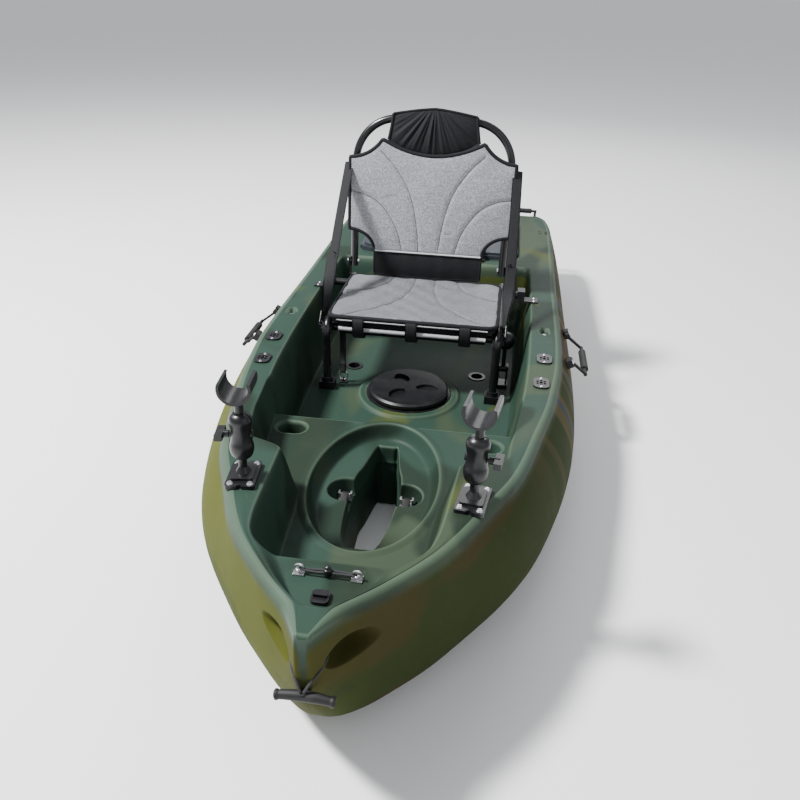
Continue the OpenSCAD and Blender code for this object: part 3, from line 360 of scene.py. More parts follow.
@dataclass(frozen=True)
class Camouflage:
    """Rotomoulded polyethylene with three greens, a tan and a blue run together."""

    name: str = "camo_polyethylene"
    deck: Colour = (0.020, 0.041, 0.030)
    pale: Colour = (0.034, 0.050, 0.030)
    slate: Colour = (0.011, 0.020, 0.013)
    olive: Colour = (0.058, 0.066, 0.008)
    moss: Colour = (0.022, 0.032, 0.007)
    earth: Colour = (0.034, 0.030, 0.008)
    tan: Colour = (0.100, 0.066, 0.027)
    blue: Colour = (0.018, 0.042, 0.070)

    def make(self) -> bpy.types.Material:
        """Patches from bent noise at two sizes, moulding haze, scuffs, a darker right flank that is partly painted
        shade, and pale rims that are painted highlight with some wear.
        """
        p = Paint(self.name)
        where = p.place((1.0, 0.62, 1.3))
        x, y, z = p.axes(p.place())
        big = p.noise(where, 2.3, 2.5, 0.5, 0.9)
        other = p.noise(p.place((1.1, 0.7, 1.5), (0.4, 0.2, 1.3)), 3.0, 2.5, 0.5, 0.7)
        third = p.noise(p.place((0.8, 0.5, 1.2), (1.1, 0.7, 0.4)), 4.2, 3.0, 0.55, 0.8)
        colour = p.mix(big.step(0.50, 0.56), self.deck, self.pale)
        colour = p.mix(other.step(0.56, 0.63) * 0.85, colour, self.slate)
        colour = p.mix(third.step(0.60, 0.66) * 0.6, colour, self.olive)
        side = p.attribute("side")
        # the right flank takes darker moss, earth and slate: painted shade on the side turned from the key light, over
        # camo patches of its own
        right = x.step(-0.12, 0.10)
        flank = p.mix(third.step(0.52, 0.64) * 0.45, self.olive, self.moss)
        bow = p.mix(other.step(0.46, 0.58), self.moss, self.earth)
        bow = p.mix(third.step(0.60, 0.66) * 0.8, bow, self.slate)
        flank = p.mix(right, flank, bow)
        aft = x.step(0.1, 0.3) * y.step(-0.75, -0.1)
        streak = p.noise(p.place((1.0, 3.2, 0.35)), 5.0, 2.0, 0.5, 0.4)
        flank = p.mix(streak.step(0.50, 0.58) * aft * 0.85, flank, self.tan)
        flank = p.mix(streak.step(0.62, 0.66) * aft, flank, self.blue)
        colour = p.mix(side, colour, flank)
        haze = p.noise(p.place(), 14.0, 5.0, 0.62)
        colour = p.mix(haze.step(0.50, 0.85) * 0.12, colour, self.pale)
        scratch = p.noise(p.place((34.0, 3.0, 10.0), (0.3, 0.1, 0.5)), 6.0, 3.0, 0.6, 1.2)
        marks = scratch.step(0.70, 0.76)
        colour = p.mix(marks * 0.14, colour, (0.16, 0.18, 0.13))
        # pale rims: painted highlight along the crests and rims, with some wear, driven by the edge number
        rim = p.attribute("edge")
        colour = p.mix(rim.step(0.10, 0.75) * 0.5, colour, (0.10, 0.145, 0.10))
        peel = p.noise(p.place(), 420.0, 2.0, 0.5)
        wave = p.noise(p.place(), 26.0, 2.0, 0.5)
        normal = p.bump(peel, 0.00035, 0.5, p.bump(wave, 0.0022, 0.35))
        rough = 0.42 + haze * 0.14 + marks * 0.1 + side * 0.30
        return p.surface(Base_Color=colour, Roughness=rough, Normal=normal, Specular=0.10)


@dataclass(frozen=True)
class Moulded:
    """Moulded plastic, rubber or powder coat: fine grain, dust and rubbed spots."""

    name: str
    base: Colour
    worn: Colour
    rough: float = 0.42
    grain: float = 900.0
    depth: float = 0.00012
    coat: float = 0.0

    def make(self) -> bpy.types.Material:
        """Grain from fine noise, with a broad variation of gloss and colour."""
        p = Paint(self.name)
        dust = p.noise(p.place(), 38.0, 5.0, 0.62)
        rub = p.noise(p.place((60.0, 14.0, 22.0), (0.5, 0.3, 0.2)), 3.0, 3.0, 0.6, 0.6)
        colour = p.mix(dust.step(0.42, 0.82) * 0.5, self.base, self.worn)
        colour = p.mix(rub.step(0.66, 0.76) * 0.4, colour, self.worn)
        grain = p.noise(p.place(), self.grain, 2.0, 0.6)
        return p.surface(Base_Color=colour, Roughness=self.rough + dust * 0.14 - 0.05,
                         Normal=p.bump(grain, self.depth, 0.7), Specular=0.3, Coat_Weight=self.coat,
                         Coat_Roughness=0.18)


@dataclass(frozen=True)
class Metal:
    """Bare or plated metal with fine drawn lines."""

    name: str
    base: Colour
    rough: float = 0.26

    def make(self) -> bpy.types.Material:
        """Drawn lines in the gloss and faint smudges."""
        p = Paint(self.name)
        lines = p.noise(p.place((900.0, 60.0, 900.0)), 1.0, 2.0, 0.5)
        smudge = p.noise(p.place(), 55.0, 4.0, 0.6)
        dull = tuple(c * 0.62 for c in self.base)
        colour = p.mix(smudge.step(0.5, 0.8) * 0.5, self.base, dull)
        return p.surface(Base_Color=colour, Roughness=self.rough + smudge * 0.16, Metallic=1.0,
                         Normal=p.bump(lines, 0.00006, 0.5))


@dataclass(frozen=True)
class SlingMesh:
    """Woven sling mesh: a bright yarn over dark holes in a tight basket weave."""

    name: str
    yarn: Colour
    shade: Colour
    gap: Colour
    pitch: float = 0.0032

    def make(self) -> bpy.types.Material:
        """Weave on the run and width coordinates, with slubs and light creases."""
        p = Paint(self.name)
        along, across = p.flow()
        turn = 2 * math.pi / self.pitch
        drift = p.noise(p.place(), 120.0, 3.0, 0.6) - 0.5
        a = (along * turn + drift * 2.2).sin()
        b = (across * turn + drift * 1.8).sin()
        knit = a * b
        hole = (a + b).step(1.05, 1.6)
        slub = p.noise(p.place(), 260.0, 3.0, 0.7)
        broad = p.noise(p.place(), 9.0, 3.0, 0.5)
        colour = p.mix(knit.step(-0.75, 0.7), self.shade, self.yarn)
        colour = p.mix(slub.step(0.40, 0.62) * 0.5, colour, self.yarn)
        colour = p.mix(slub.step(0.60, 0.40) * 0.5, colour, self.shade)
        colour = p.mix(hole * 0.85, colour, self.gap)
        colour = p.mix(broad.step(0.40, 0.75) * 0.22, colour, self.shade)
        crease = p.noise(p.place((1.0, 1.0, 2.4), (0.0, 0.35, 0.3)), 17.0, 4.0, 0.55, 0.8)
        height = knit * 0.6 - hole + slub * 0.3
        normal = p.bump(height, 0.0005, 0.55, p.bump(crease, 0.0045, 0.45))
        return p.surface(Base_Color=colour, Roughness=0.46 + hole * 0.3, Normal=normal,
                         Specular=0.6, Sheen_Weight=0.15, Sheen_Roughness=0.4)


@dataclass(frozen=True)
class Cloth:
    """Plain woven nylon or neoprene."""

    name: str
    base: Colour
    light: Colour
    pitch: float = 0.0011
    rough: float = 0.74

    def make(self) -> bpy.types.Material:
        """Fine over-and-under weave with soft creases, whose raised folds are painted lighter as a highlight."""
        p = Paint(self.name)
        x, y, z = p.axes(p.place())
        turn = 2 * math.pi / self.pitch
        weave = (x * turn).sin() * ((z + y * 0.6) * turn).sin()
        fold = p.noise(p.place(), 30.0, 4.0, 0.55, 0.6)
        fuzz = p.noise(p.place(), 700.0, 2.0, 0.6)
        colour = p.mix(weave.step(-0.8, 1.0) * 0.5, self.base, self.light)
        # raised folds painted lighter: painted highlight on the crease ridges
        colour = p.mix(fold.step(0.5, 0.8) * 0.3, colour, self.light)
        normal = p.bump(weave * 0.5 + fuzz, 0.0003, 0.5, p.bump(fold, 0.003, 0.35))
        return p.surface(Base_Color=colour, Roughness=self.rough, Normal=normal,
                         Specular=0.2, Sheen_Weight=0.02, Sheen_Roughness=0.5)


@dataclass(frozen=True)
class Woven:
    """Strap webbing or braided cord, patterned along its own run."""

    name: str
    base: Colour
    light: Colour
    pitch: float = 0.0024
    braid: bool = False

    def make(self) -> bpy.types.Material:
        """Webbing has chevron ribs; a braid has two crossing helices."""
        p = Paint(self.name)
        along, across = p.flow()
        turn = 2 * math.pi / self.pitch
        if self.braid:
            first = ((along + across) * turn).sin()
            second = ((along - across) * turn).sin()
            rib = first.larger(second)
        else:
            fold = abs((across * 160.0).frac() - 0.5)
            rib = ((along + fold * 0.004) * turn).sin()
        fuzz = p.noise(p.place(), 900.0, 2.0, 0.6)
        colour = p.mix(rib.step(-0.7, 0.9), self.base, self.light)
        colour = p.mix(fuzz.step(0.4, 0.8) * 0.4, colour, self.light)
        return p.surface(Base_Color=colour, Roughness=0.66, Normal=p.bump(rib + fuzz * 0.5, 0.0004, 0.7),
                         Specular=0.2, Sheen_Weight=0.02, Sheen_Roughness=0.5)


FINISHES: dict[str, Any] = {
    "hull_plastic": Camouflage(),
    "black_plastic": Moulded("black_nylon", (0.006, 0.006, 0.007), (0.022, 0.022, 0.023), 0.34, coat=0.15),
    "black_rubber": Moulded("black_rubber", (0.010, 0.010, 0.010), (0.035, 0.035, 0.036), 0.58, 600.0),
    "screw_steel": Metal("stainless_screws", (0.62, 0.62, 0.63)),
    "frame_tube": Moulded("powder_coated_tube", (0.005, 0.005, 0.006), (0.016, 0.016, 0.017), 0.28, 500.0, coat=0.3),
    "seat_mesh": SlingMesh("silver_sling_mesh", (0.46, 0.47, 0.50), (0.12, 0.125, 0.14), (0.05, 0.05, 0.06)),
    # the pan's mesh is a darker copy of the seat's sling mesh: painted shade on the upward-facing pan
    "pan_mesh": SlingMesh("shaded_sling_mesh", (0.23, 0.235, 0.25), (0.060, 0.063, 0.072), (0.03, 0.03, 0.036)),
    "black_fabric": Cloth("black_panel_cloth", (0.004, 0.004, 0.005), (0.013, 0.013, 0.017)),
    "webbing": Woven("black_webbing", (0.006, 0.006, 0.007), (0.022, 0.022, 0.024)),
    "cord": Woven("black_braid", (0.009, 0.009, 0.009), (0.040, 0.040, 0.042), 0.0035, True),
    # slate lid: its blue-grey tint is painted sky reflection on the hatch lid
    "lid_plastic": Moulded("slate_lid", (0.020, 0.026, 0.032), (0.060, 0.070, 0.078), 0.45, 420.0),
    "anodised_plate": Moulded("anodised_black", (0.012, 0.012, 0.013), (0.04, 0.04, 0.042), 0.32, 1200.0),
    "piping": Cloth("white_piping", (0.42, 0.42, 0.43), (0.62, 0.62, 0.63), 0.0014, 0.6),
    "thread": Woven("grey_thread", (0.030, 0.030, 0.034), (0.10, 0.10, 0.105), 0.0016, True),
}
_made: dict[str, bpy.types.Material] = {}


def finish(slot: str) -> bpy.types.Material:
    """The material of a finish, made once."""
    if slot not in _made:
        _made[slot] = FINISHES[slot].make()
    return _made[slot]


# ---------------------------------------------------------------- meshes from grids of points


def smooth(low: float, high: float, value: Array) -> Array:
    """Smooth step from 0 at low to 1 at high."""
    t = np.clip((value - low) / (high - low), 0.0, 1.0)
    return t * t * (3.0 - 2.0 * t)


def unit(v: Array) -> Array:
    """Vectors brought to length 1."""
    return v / np.maximum(np.linalg.norm(v, axis=-1, keepdims=True), 1e-9)


def turned(points: Array, axis: str, degrees: float, about: Sequence[float] = (0, 0, 0)) -> Array:
    """Points turned about an axis through a point, in the right-handed sense."""
    matrix = np.array(Matrix.Rotation(math.radians(degrees), 3, axis))
    centre = np.asarray(about, dtype=float)
    return (points - centre) @ matrix.T + centre


def curve(points: Sequence[Sequence[float]], count: int, closed: bool = False) -> Array:
    """Smooth Catmull-Rom curve through the points, spaced evenly by length.

    Args:
        points: points that it passes through.
        count: points of the result.
        closed: whether the last point joins the first.

    Returns:
        Array of count points.
    """
    p = np.asarray(points, dtype=float)
    if closed:
        p = np.vstack([p[-1], p, p[0], p[1]])
    else:
        p = np.vstack([2 * p[0] - p[1], p, 2 * p[-1] - p[-2]])
    t = np.linspace(0, 1, 24, endpoint=False)[:, None]
    parts = []
    for a, b, c, d in zip(p[:-3], p[1:-2], p[2:-1], p[3:]):
        parts.append(0.5 * (2 * b + (c - a) * t + (2 * a - 5 * b + 4 * c - d) * t**2 + (3 * b - a - 3 * c + d) * t**3))
    dense = np.vstack(parts + [p[-2][None]])
    run = np.concatenate([[0], np.cumsum(np.linalg.norm(np.diff(dense, axis=0), axis=1))])
    stops = np.linspace(0, run[-1], count + 1 if closed else count)
    stops = stops[:-1] if closed else stops
    return np.stack([np.interp(stops, run, dense[:, k]) for k in range(dense.shape[1])], axis=1)


def rounded_outline(width: float, length: float, radius: float, count: int = 12) -> Array:
    """Closed outline of a rectangle with quarter-round corners, anticlockwise from its right side."""
    angles = np.linspace(0, math.pi / 2, count)
    parts = []
    for quarter, (sx, sy) in enumerate([(1, 1), (-1, 1), (-1, -1), (1, -1)]):
        a = angles + quarter * math.pi / 2
        centre = np.array([sx * (width / 2 - radius), sy * (length / 2 - radius)])
        parts.append(centre + radius * np.stack([np.cos(a), np.sin(a)], axis=1))
    return np.vstack(parts)


def even(outline: Array, count: int) -> Array:
    """A closed outline with its points spaced evenly."""
    ring = np.vstack([outline, outline[:1]])
    run = np.concatenate([[0], np.cumsum(np.linalg.norm(np.diff(ring, axis=0), axis=1))])
    stops = np.linspace(0, run[-1], count, endpoint=False)
    return np.stack([np.interp(stops, run, ring[:, k]) for k in range(ring.shape[1])], axis=1)


def outline_normals(outline: Array) -> Array:
    """Outward normals of a closed anticlockwise outline in the plane."""
    way = unit(np.roll(outline, -1, axis=0) - np.roll(outline, 1, axis=0))
    return np.stack([way[:, 1], -way[:, 0]], axis=1)


def run_frames(path: Array, closed: bool = False, up: Sequence[float] = (0, 0, 1)) -> tuple[Array, Array]:
    """Two cross directions at each point of a path, carried along without twist.

    Args:
        path: points of the path.
        closed: whether it is a loop.
        up: direction that the second one starts nearest to.

    Returns:
        Side and up directions.
    """
    if closed:
        way = unit(np.roll(path, -1, axis=0) - np.roll(path, 1, axis=0))
    else:
        way = unit(np.gradient(path, axis=0))
    side = np.zeros_like(path)
    start = np.cross(way[0], np.asarray(up, dtype=float))
    if np.linalg.norm(start) < 1e-3:
        start = np.cross(way[0], (1.0, 0.0, 0.0))
    side[0] = unit(start)
    for k in range(1, len(path)):
        step = side[k - 1] - way[k] * np.dot(side[k - 1], way[k])
        side[k] = unit(step)
    if closed:
        end = side[-1] - way[0] * np.dot(side[-1], way[0])
        twist = math.atan2(float(np.dot(np.cross(unit(end), side[0]), way[0])), float(np.dot(unit(end), side[0])))
        angle = np.linspace(0, twist, len(path))[:, None]
        side = side * np.cos(angle) + np.cross(way, side) * np.sin(angle)
    return side, np.cross(side, way)


class Piece:
    """One mesh put together from grids of points in millimetres."""

    def __init__(self, name: str) -> None:
        """Starts an empty piece of that name."""
        self.name = name
        self.points: list[Array] = []
        self.corners: list[Array] = []
        self.runs: list[Array] = []
        self.numbers: dict[str, list[Array]] = {}
        self.count = 0

    def grid(self, p: Array, wrap_u: bool = False, wrap_v: bool = False, flip: bool = False,
             caps: bool = False, run: tuple[Array, Array] | None = None, keep: Array | None = None,
             **numbers: Array) -> "Piece":
        """Adds a grid of points as quads.

        Args:
            p: array of rows by columns by 3.
            wrap_u: whether the last row joins the first.
            wrap_v: whether the last column joins the first.
            flip: turns the faces over.
            caps: closes the first and last rows with a fan.
            run: run coordinates of the rows and of the columns in metres, with one more where they wrap.
            keep: mask of the cells that are made.
            numbers: named values at the points.

        Returns:
            The piece.
        """
        rows, columns = p.shape[:2]
        index = np.arange(rows * columns).reshape(rows, columns) + self.count
        full = np.vstack([index, index[:1]]) if wrap_u else index
        full = np.hstack([full, full[:, :1]]) if wrap_v else full
        quads = np.stack([full[:-1, :-1], full[:-1, 1:], full[1:, 1:], full[1:, :-1]], axis=-1)
        u = np.arange(full.shape[0]) * MM if run is None else np.asarray(run[0])
        v = np.arange(full.shape[1]) * MM if run is None else np.asarray(run[1])
        uu, vv = np.meshgrid(u, v, indexing="ij") if u.ndim == 1 else (u, v)
        both = np.stack([uu, vv], axis=-1)
        corner = np.stack([both[:-1, :-1], both[:-1, 1:], both[1:, 1:], both[1:, :-1]], axis=2)
        chosen = np.ones(quads.shape[:2], dtype=bool) if keep is None else keep
        faces, uv = quads[chosen], corner[chosen]
        if flip:
            faces, uv = faces[:, ::-1], uv[:, ::-1]
        self.points.append(p.reshape(-1, 3))
        self.corners.append(faces.reshape(-1, 4))
        self.runs.append(uv.reshape(-1, 4, 2))
        for key in set(self.numbers) | set(numbers):
            store = self.numbers.setdefault(key, [np.zeros(self.count)] if self.count else [])
            store.append(np.broadcast_to(numbers.get(key, 0.0), (rows, columns)).reshape(-1).astype(float))
        self.count += rows * columns
        if caps:
            for ring, turn in ((index[0], not flip), (index[-1], flip)):
                self._fan(ring, turn)
        return self

    def _fan(self, ring: Array, turn: bool) -> None:
        """Closes a ring of points with triangles to its centre."""
        everything = np.vstack(self.points)
        centre = everything[ring].mean(axis=0)
        after = np.roll(ring, -1)
        middle = np.full(len(ring), self.count)
        order = (middle, ring, after) if turn else (middle, after, ring)
        faces = np.stack([*order, order[2]], axis=1)
        faces[:, 3] = -1
        self.points.append(centre[None])
        self.corners.append(faces)
        self.runs.append(np.zeros((len(ring), 4, 2)))
        for store in self.numbers.values():
            store.append(np.zeros(1))
        self.count += 1

    def tube(self, path: Array, radius: float | Array, sides: int = 12, closed: bool = False,
             flat: float = 1.0, caps: bool = True, up: Sequence[float] = (0, 0, 1)) -> "Piece":
        """Adds a round or oval tube: a circle carried along a path.

        Args:
            path: points of its middle line.
            radius: radius, or one for each point.
            sides: points around it.
            closed: whether it is a loop.
            flat: height of the section as a share of its width.
            caps: whether open ends are closed.
            up: direction of the section's height at the start.

        Returns:
            The piece.
        """
        side, top = run_frames(path, closed, up)
        angle = np.linspace(0, 2 * math.pi, sides, endpoint=False)
        r = np.broadcast_to(radius, (len(path),))[:, None, None]
        ring = side[:, None] * np.cos(angle)[None, :, None] + top[:, None] * (flat * np.sin(angle))[None, :, None]
        run = np.concatenate([[0], np.cumsum(np.linalg.norm(np.diff(path, axis=0), axis=1))])
        if closed:
            run = np.append(run, run[-1] + np.linalg.norm(path[0] - path[-1]))
        around = np.linspace(0, 2 * math.pi * float(np.mean(radius)), sides + 1)
        return self.grid(path[:, None] + ring * r, wrap_u=closed, wrap_v=True, caps=caps and not closed,
                         run=(run * MM, around * MM), flip=True)

    def ribbon(self, path: Array, width: float, thick: float, across: Array, closed: bool = False,
               swell: float = 0.0) -> "Piece":
        """Adds flat webbing: a rounded bar section carried along a path.

        Args:
            path: points of its middle line.
            width: width of the webbing.
            thick: its thickness.
            across: direction of its width, one or one for each point.
            closed: whether it is a loop.
            swell: extra thickness at its middle.

        Returns:
            The piece.
        """
        wide = unit(np.broadcast_to(np.asarray(across, dtype=float), path.shape))
        way = unit(np.roll(path, -1, 0) - np.roll(path, 1, 0)) if closed else unit(np.gradient(path, axis=0))
        wide = unit(wide - way * np.sum(wide * way, axis=1, keepdims=True))
        out = np.cross(way, wide)
        s = np.concatenate([np.linspace(-1, 1, 9), np.linspace(1, -1, 9)])
        sign = np.concatenate([np.ones(9), -np.ones(9)])
        body = np.sqrt(np.clip(1 - s**8, 0, 1))
        height = sign * (thick / 2 * body + swell / 2 * (1 - s**2))
        ring = wide[:, None] * (s * width / 2)[None, :, None] + out[:, None] * height[None, :, None]
        run = np.concatenate([[0], np.cumsum(np.linalg.norm(np.diff(path, axis=0), axis=1))])
        if closed:
            run = np.append(run, run[-1] + np.linalg.norm(path[0] - path[-1]))
        v = np.append(s, -1) * width / 2
        return self.grid(path[:, None] + ring, wrap_u=closed, wrap_v=True, caps=not closed,
                         run=(run * MM, v * MM))

    def slab(self, outline: Array, low: float, high: float, edge: float,
             place: Callable[[Array], Array] | None = None, crown: float = 0.0) -> "Piece":
        """Adds a flat solid with rounded edges: an outline raised from low to high.

        Args:
            outline: closed anticlockwise outline in X and Y.
            low: its underside.
            high: its top.
            edge: radius of the rounded edges.
            place: moves the points to where they belong.
            crown: extra height in the middle of the top.

        Returns:
            The piece.
        """
        normal = outline_normals(outline)
        centre = outline.mean(axis=0)
        a = np.linspace(0, math.pi / 2, 5)
        rows, tops = [], []
        for inner in (0.35, 0.75):
            rows.append(centre + (outline - normal * edge - centre) * inner)
            tops.append(low)
        for t in a:
            rows.append(outline - normal * edge * (1 - math.sin(t)))
            tops.append(low + edge * (1 - math.cos(t)))
        for t in a[::-1]:
            rows.append(outline - normal * edge * (1 - math.sin(t)))
            tops.append(high - edge * (1 - math.cos(t)))
        for inner in (0.75, 0.35):
            rows.append(centre + (outline - normal * edge - centre) * inner)
            tops.append(high + crown * (1 - inner**2))
        flat = np.stack(rows)
        p = np.concatenate([flat, np.broadcast_to(np.array(tops)[:, None, None], (*flat.shape[:2], 1))], axis=2)
        p = place(p) if place else p
        return self.grid(p, wrap_v=True, caps=True, run=(np.arange(len(rows)) * 0.002,
                         np.arange(len(outline) + 1) * 0.002))

    def lathe(self, profile: Sequence[Sequence[float]], place: Callable[[Array], Array] | None = None,
              sides: int = 40) -> "Piece":
        """Adds a turned solid: a profile of radius and height spun about Z."""
        line = np.asarray(profile, dtype=float)
        angle = np.linspace(0, 2 * math.pi, sides, endpoint=False)
        x = line[:, :1] * np.cos(angle)
        y = line[:, :1] * np.sin(angle)
        p = np.stack([x, y, np.broadcast_to(line[:, 1:], x.shape)], axis=2)
        p = place(p) if place else p
        return self.grid(p, wrap_v=True, caps=True, run=(np.arange(len(line)) * 0.002, np.arange(sides + 1) * 0.002))

    def done(self, slot: str, body: str, replaces: Sequence[str] = (), soft: float | None = None,
             level: int = 0, crisp: float = 0.0) -> bpy.types.Object:
        """Makes the Blender object and reports it.

        Args:
            slot: material slot of its finish.
            body: CAD body that it moves with; empty if it is blended or squashed later.
            replaces: CAD nodes that it stands for.
            soft: fill of a padded piece.
            level: levels of subdivision, the same in the view and the render.
            crisp: angle in degrees past which an edge is sharp; 0 keeps all smooth.

        Returns:
            The object.
        """
        mesh = bpy.data.meshes.new(self.name)
        points = np.vstack(self.points) * MM
        faces = np.vstack(self.corners)
        runs = np.vstack(self.runs)
        used = faces >= 0
        sizes = used.sum(axis=1)
        loops = faces[used]
        mesh.vertices.add(len(points))
        mesh.vertices.foreach_set("co", points.astype(np.float32).ravel())
        mesh.loops.add(len(loops))
        mesh.loops.foreach_set("vertex_index", loops.astype(np.int32))
        mesh.polygons.add(len(faces))
        mesh.polygons.foreach_set("loop_start", np.concatenate([[0], np.cumsum(sizes)[:-1]]).astype(np.int32))
        mesh.polygons.foreach_set("loop_total", sizes.astype(np.int32))
        layer = mesh.uv_layers.new(name="run")
        layer.data.foreach_set("uv", runs[used].astype(np.float32).ravel())
        for key, store in self.numbers.items():
            made = mesh.attributes.new(key, "FLOAT", "POINT")
            made.data.foreach_set("value", np.concatenate(store).astype(np.float32))
        mesh.update(calc_edges=True)
        mesh.validate()
        mesh.polygons.foreach_set("use_smooth", np.ones(len(mesh.polygons), dtype=bool))
        if crisp:
            mesh.set_sharp_from_angle(angle=math.radians(crisp))
        piece = bpy.data.objects.new(self.name, mesh)
        bpy.context.scene.collection.objects.link(piece)
        return dress(piece, slot, body, replaces, soft, level)


def dress(piece: bpy.types.Object, slot: str, body: str, replaces: Sequence[str] = (),
          soft: float | None = None, level: int = 0) -> bpy.types.Object:
    """Gives a piece its finish, its body and its place in the frame."""
    piece.data.materials.clear()
    piece.data.materials.append(finish(slot))
    if level:
        even_out = piece.modifiers.new("even", "SUBSURF")
        even_out.levels = level
        even_out.render_levels = level
    if body:
        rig.ride(piece, body)
    if replaces:
        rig.replaces(piece, *replaces)
    record_slots = {row["slot"] for row in frame["record"]["materials"]}
    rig.slot(piece, slot if slot in record_slots else "black_fabric")
    if soft is not None:
        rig.padded(piece, fill=soft)
    log.info("%s: %d faces, %s", piece.name, len(piece.data.polygons), body or "joined bodies")
    return piece


# ---------------------------------------------------------------- hull


def along(points: Sequence[Sequence[float]], u: Array) -> Array:
    """Smooth cubic curve through points of place and value, flat past its ends."""
    table = np.asarray(points, dtype=float)
    x, y = table[:, 0], table[:, 1]
    low, high = np.maximum(np.arange(len(x)) - 1, 0), np.minimum(np.arange(len(x)) + 1, len(x) - 1)
    slope = (y[high] - y[low]) / (x[high] - x[low])
    i = np.clip(np.searchsorted(x, u, side="right") - 1, 0, len(x) - 2)
    w = x[i + 1] - x[i]
    t = np.clip((u - x[i]) / w, 0, 1)
    s, c = t * t, t**3
    return (y[i] * (2 * c - 3 * s + 1) + slope[i] * w * (c - 2 * s + t)
            + y[i + 1] * (3 * s - 2 * c) + slope[i + 1] * w * (c - s))


def blend_to(a: Array, b: Array, share: Array) -> Array:
    """Straight blend from a to b."""
    return a + (b - a) * share


@dataclass
class Outline:
    """A closed shape in plan, with what the deck does inside it."""

    points: Array
    depth: float
    wall: float
    floor: float | None = None
    through: bool = False

    def distance(self, x: Array, y: Array) -> tuple[Array, Array, Array]:
        """Signed distance to the outline, negative inside, and the nearest point on it."""
        here = np.stack([x, y], axis=-1)
        best = np.full(x.shape, 1e9)
        near = np.zeros_like(here)
        inside = np.zeros(x.shape, dtype=bool)
        for a, b in zip(self.points, np.roll(self.points, -1, axis=0)):
            way = b - a
            t = np.clip(((here - a) @ way) / max(float(way @ way), 1e-9), 0, 1)
            spot = a + t[..., None] * way
            gap = np.linalg.norm(here - spot, axis=-1)
            closer = gap < best
            best = np.where(closer, gap, best)
            near = np.where(closer[..., None], spot, near)
            crosses = (a[1] > y) != (b[1] > y)
            if a[1] != b[1]:
                inside ^= crosses & (x < way[0] * (y - a[1]) / (b[1] - a[1]) + a[0])
        return np.where(inside, -best, best), near[..., 0], near[..., 1]

    def apply(self, p: Array, snap: float) -> Array:
        """Pulls nearby points onto its top and bottom edges, then lowers what is inside.

        Args:
            p: deck points, changed in place.
            snap: how far a point may be pulled.

        Returns:
            Signed distance of each point after the pull.
        """
        low = self.points.min(axis=0) - 12
        high = self.points.max(axis=0) + 12
        local = (p[..., 0] > low[0]) & (p[..., 0] < high[0]) & (p[..., 1] > low[1]) & (p[..., 1] < high[1])
        result = np.full(p.shape[:2], 1e3)
        if not local.any():
            return result
        x, y, z = p[local].T
        gap, nx, ny = self.distance(x, y)
        away = unit(np.stack([x - nx, y - ny], axis=-1)) * np.sign(gap)[:, None]
        for edge in (0.0, -self.wall):
            move = np.where(np.abs(gap - edge) < snap, edge - gap, 0.0)
            x, y = x + away[:, 0] * move, y + away[:, 1] * move
            gap = gap + move
        share = smooth(0.0, 1.0, -gap / self.wall)
        target = z - self.depth if self.floor is None else np.full_like(z, self.floor)
        p[local] = np.stack([x, y, z + (target - z) * share], axis=1)
        result[local] = gap
        return result


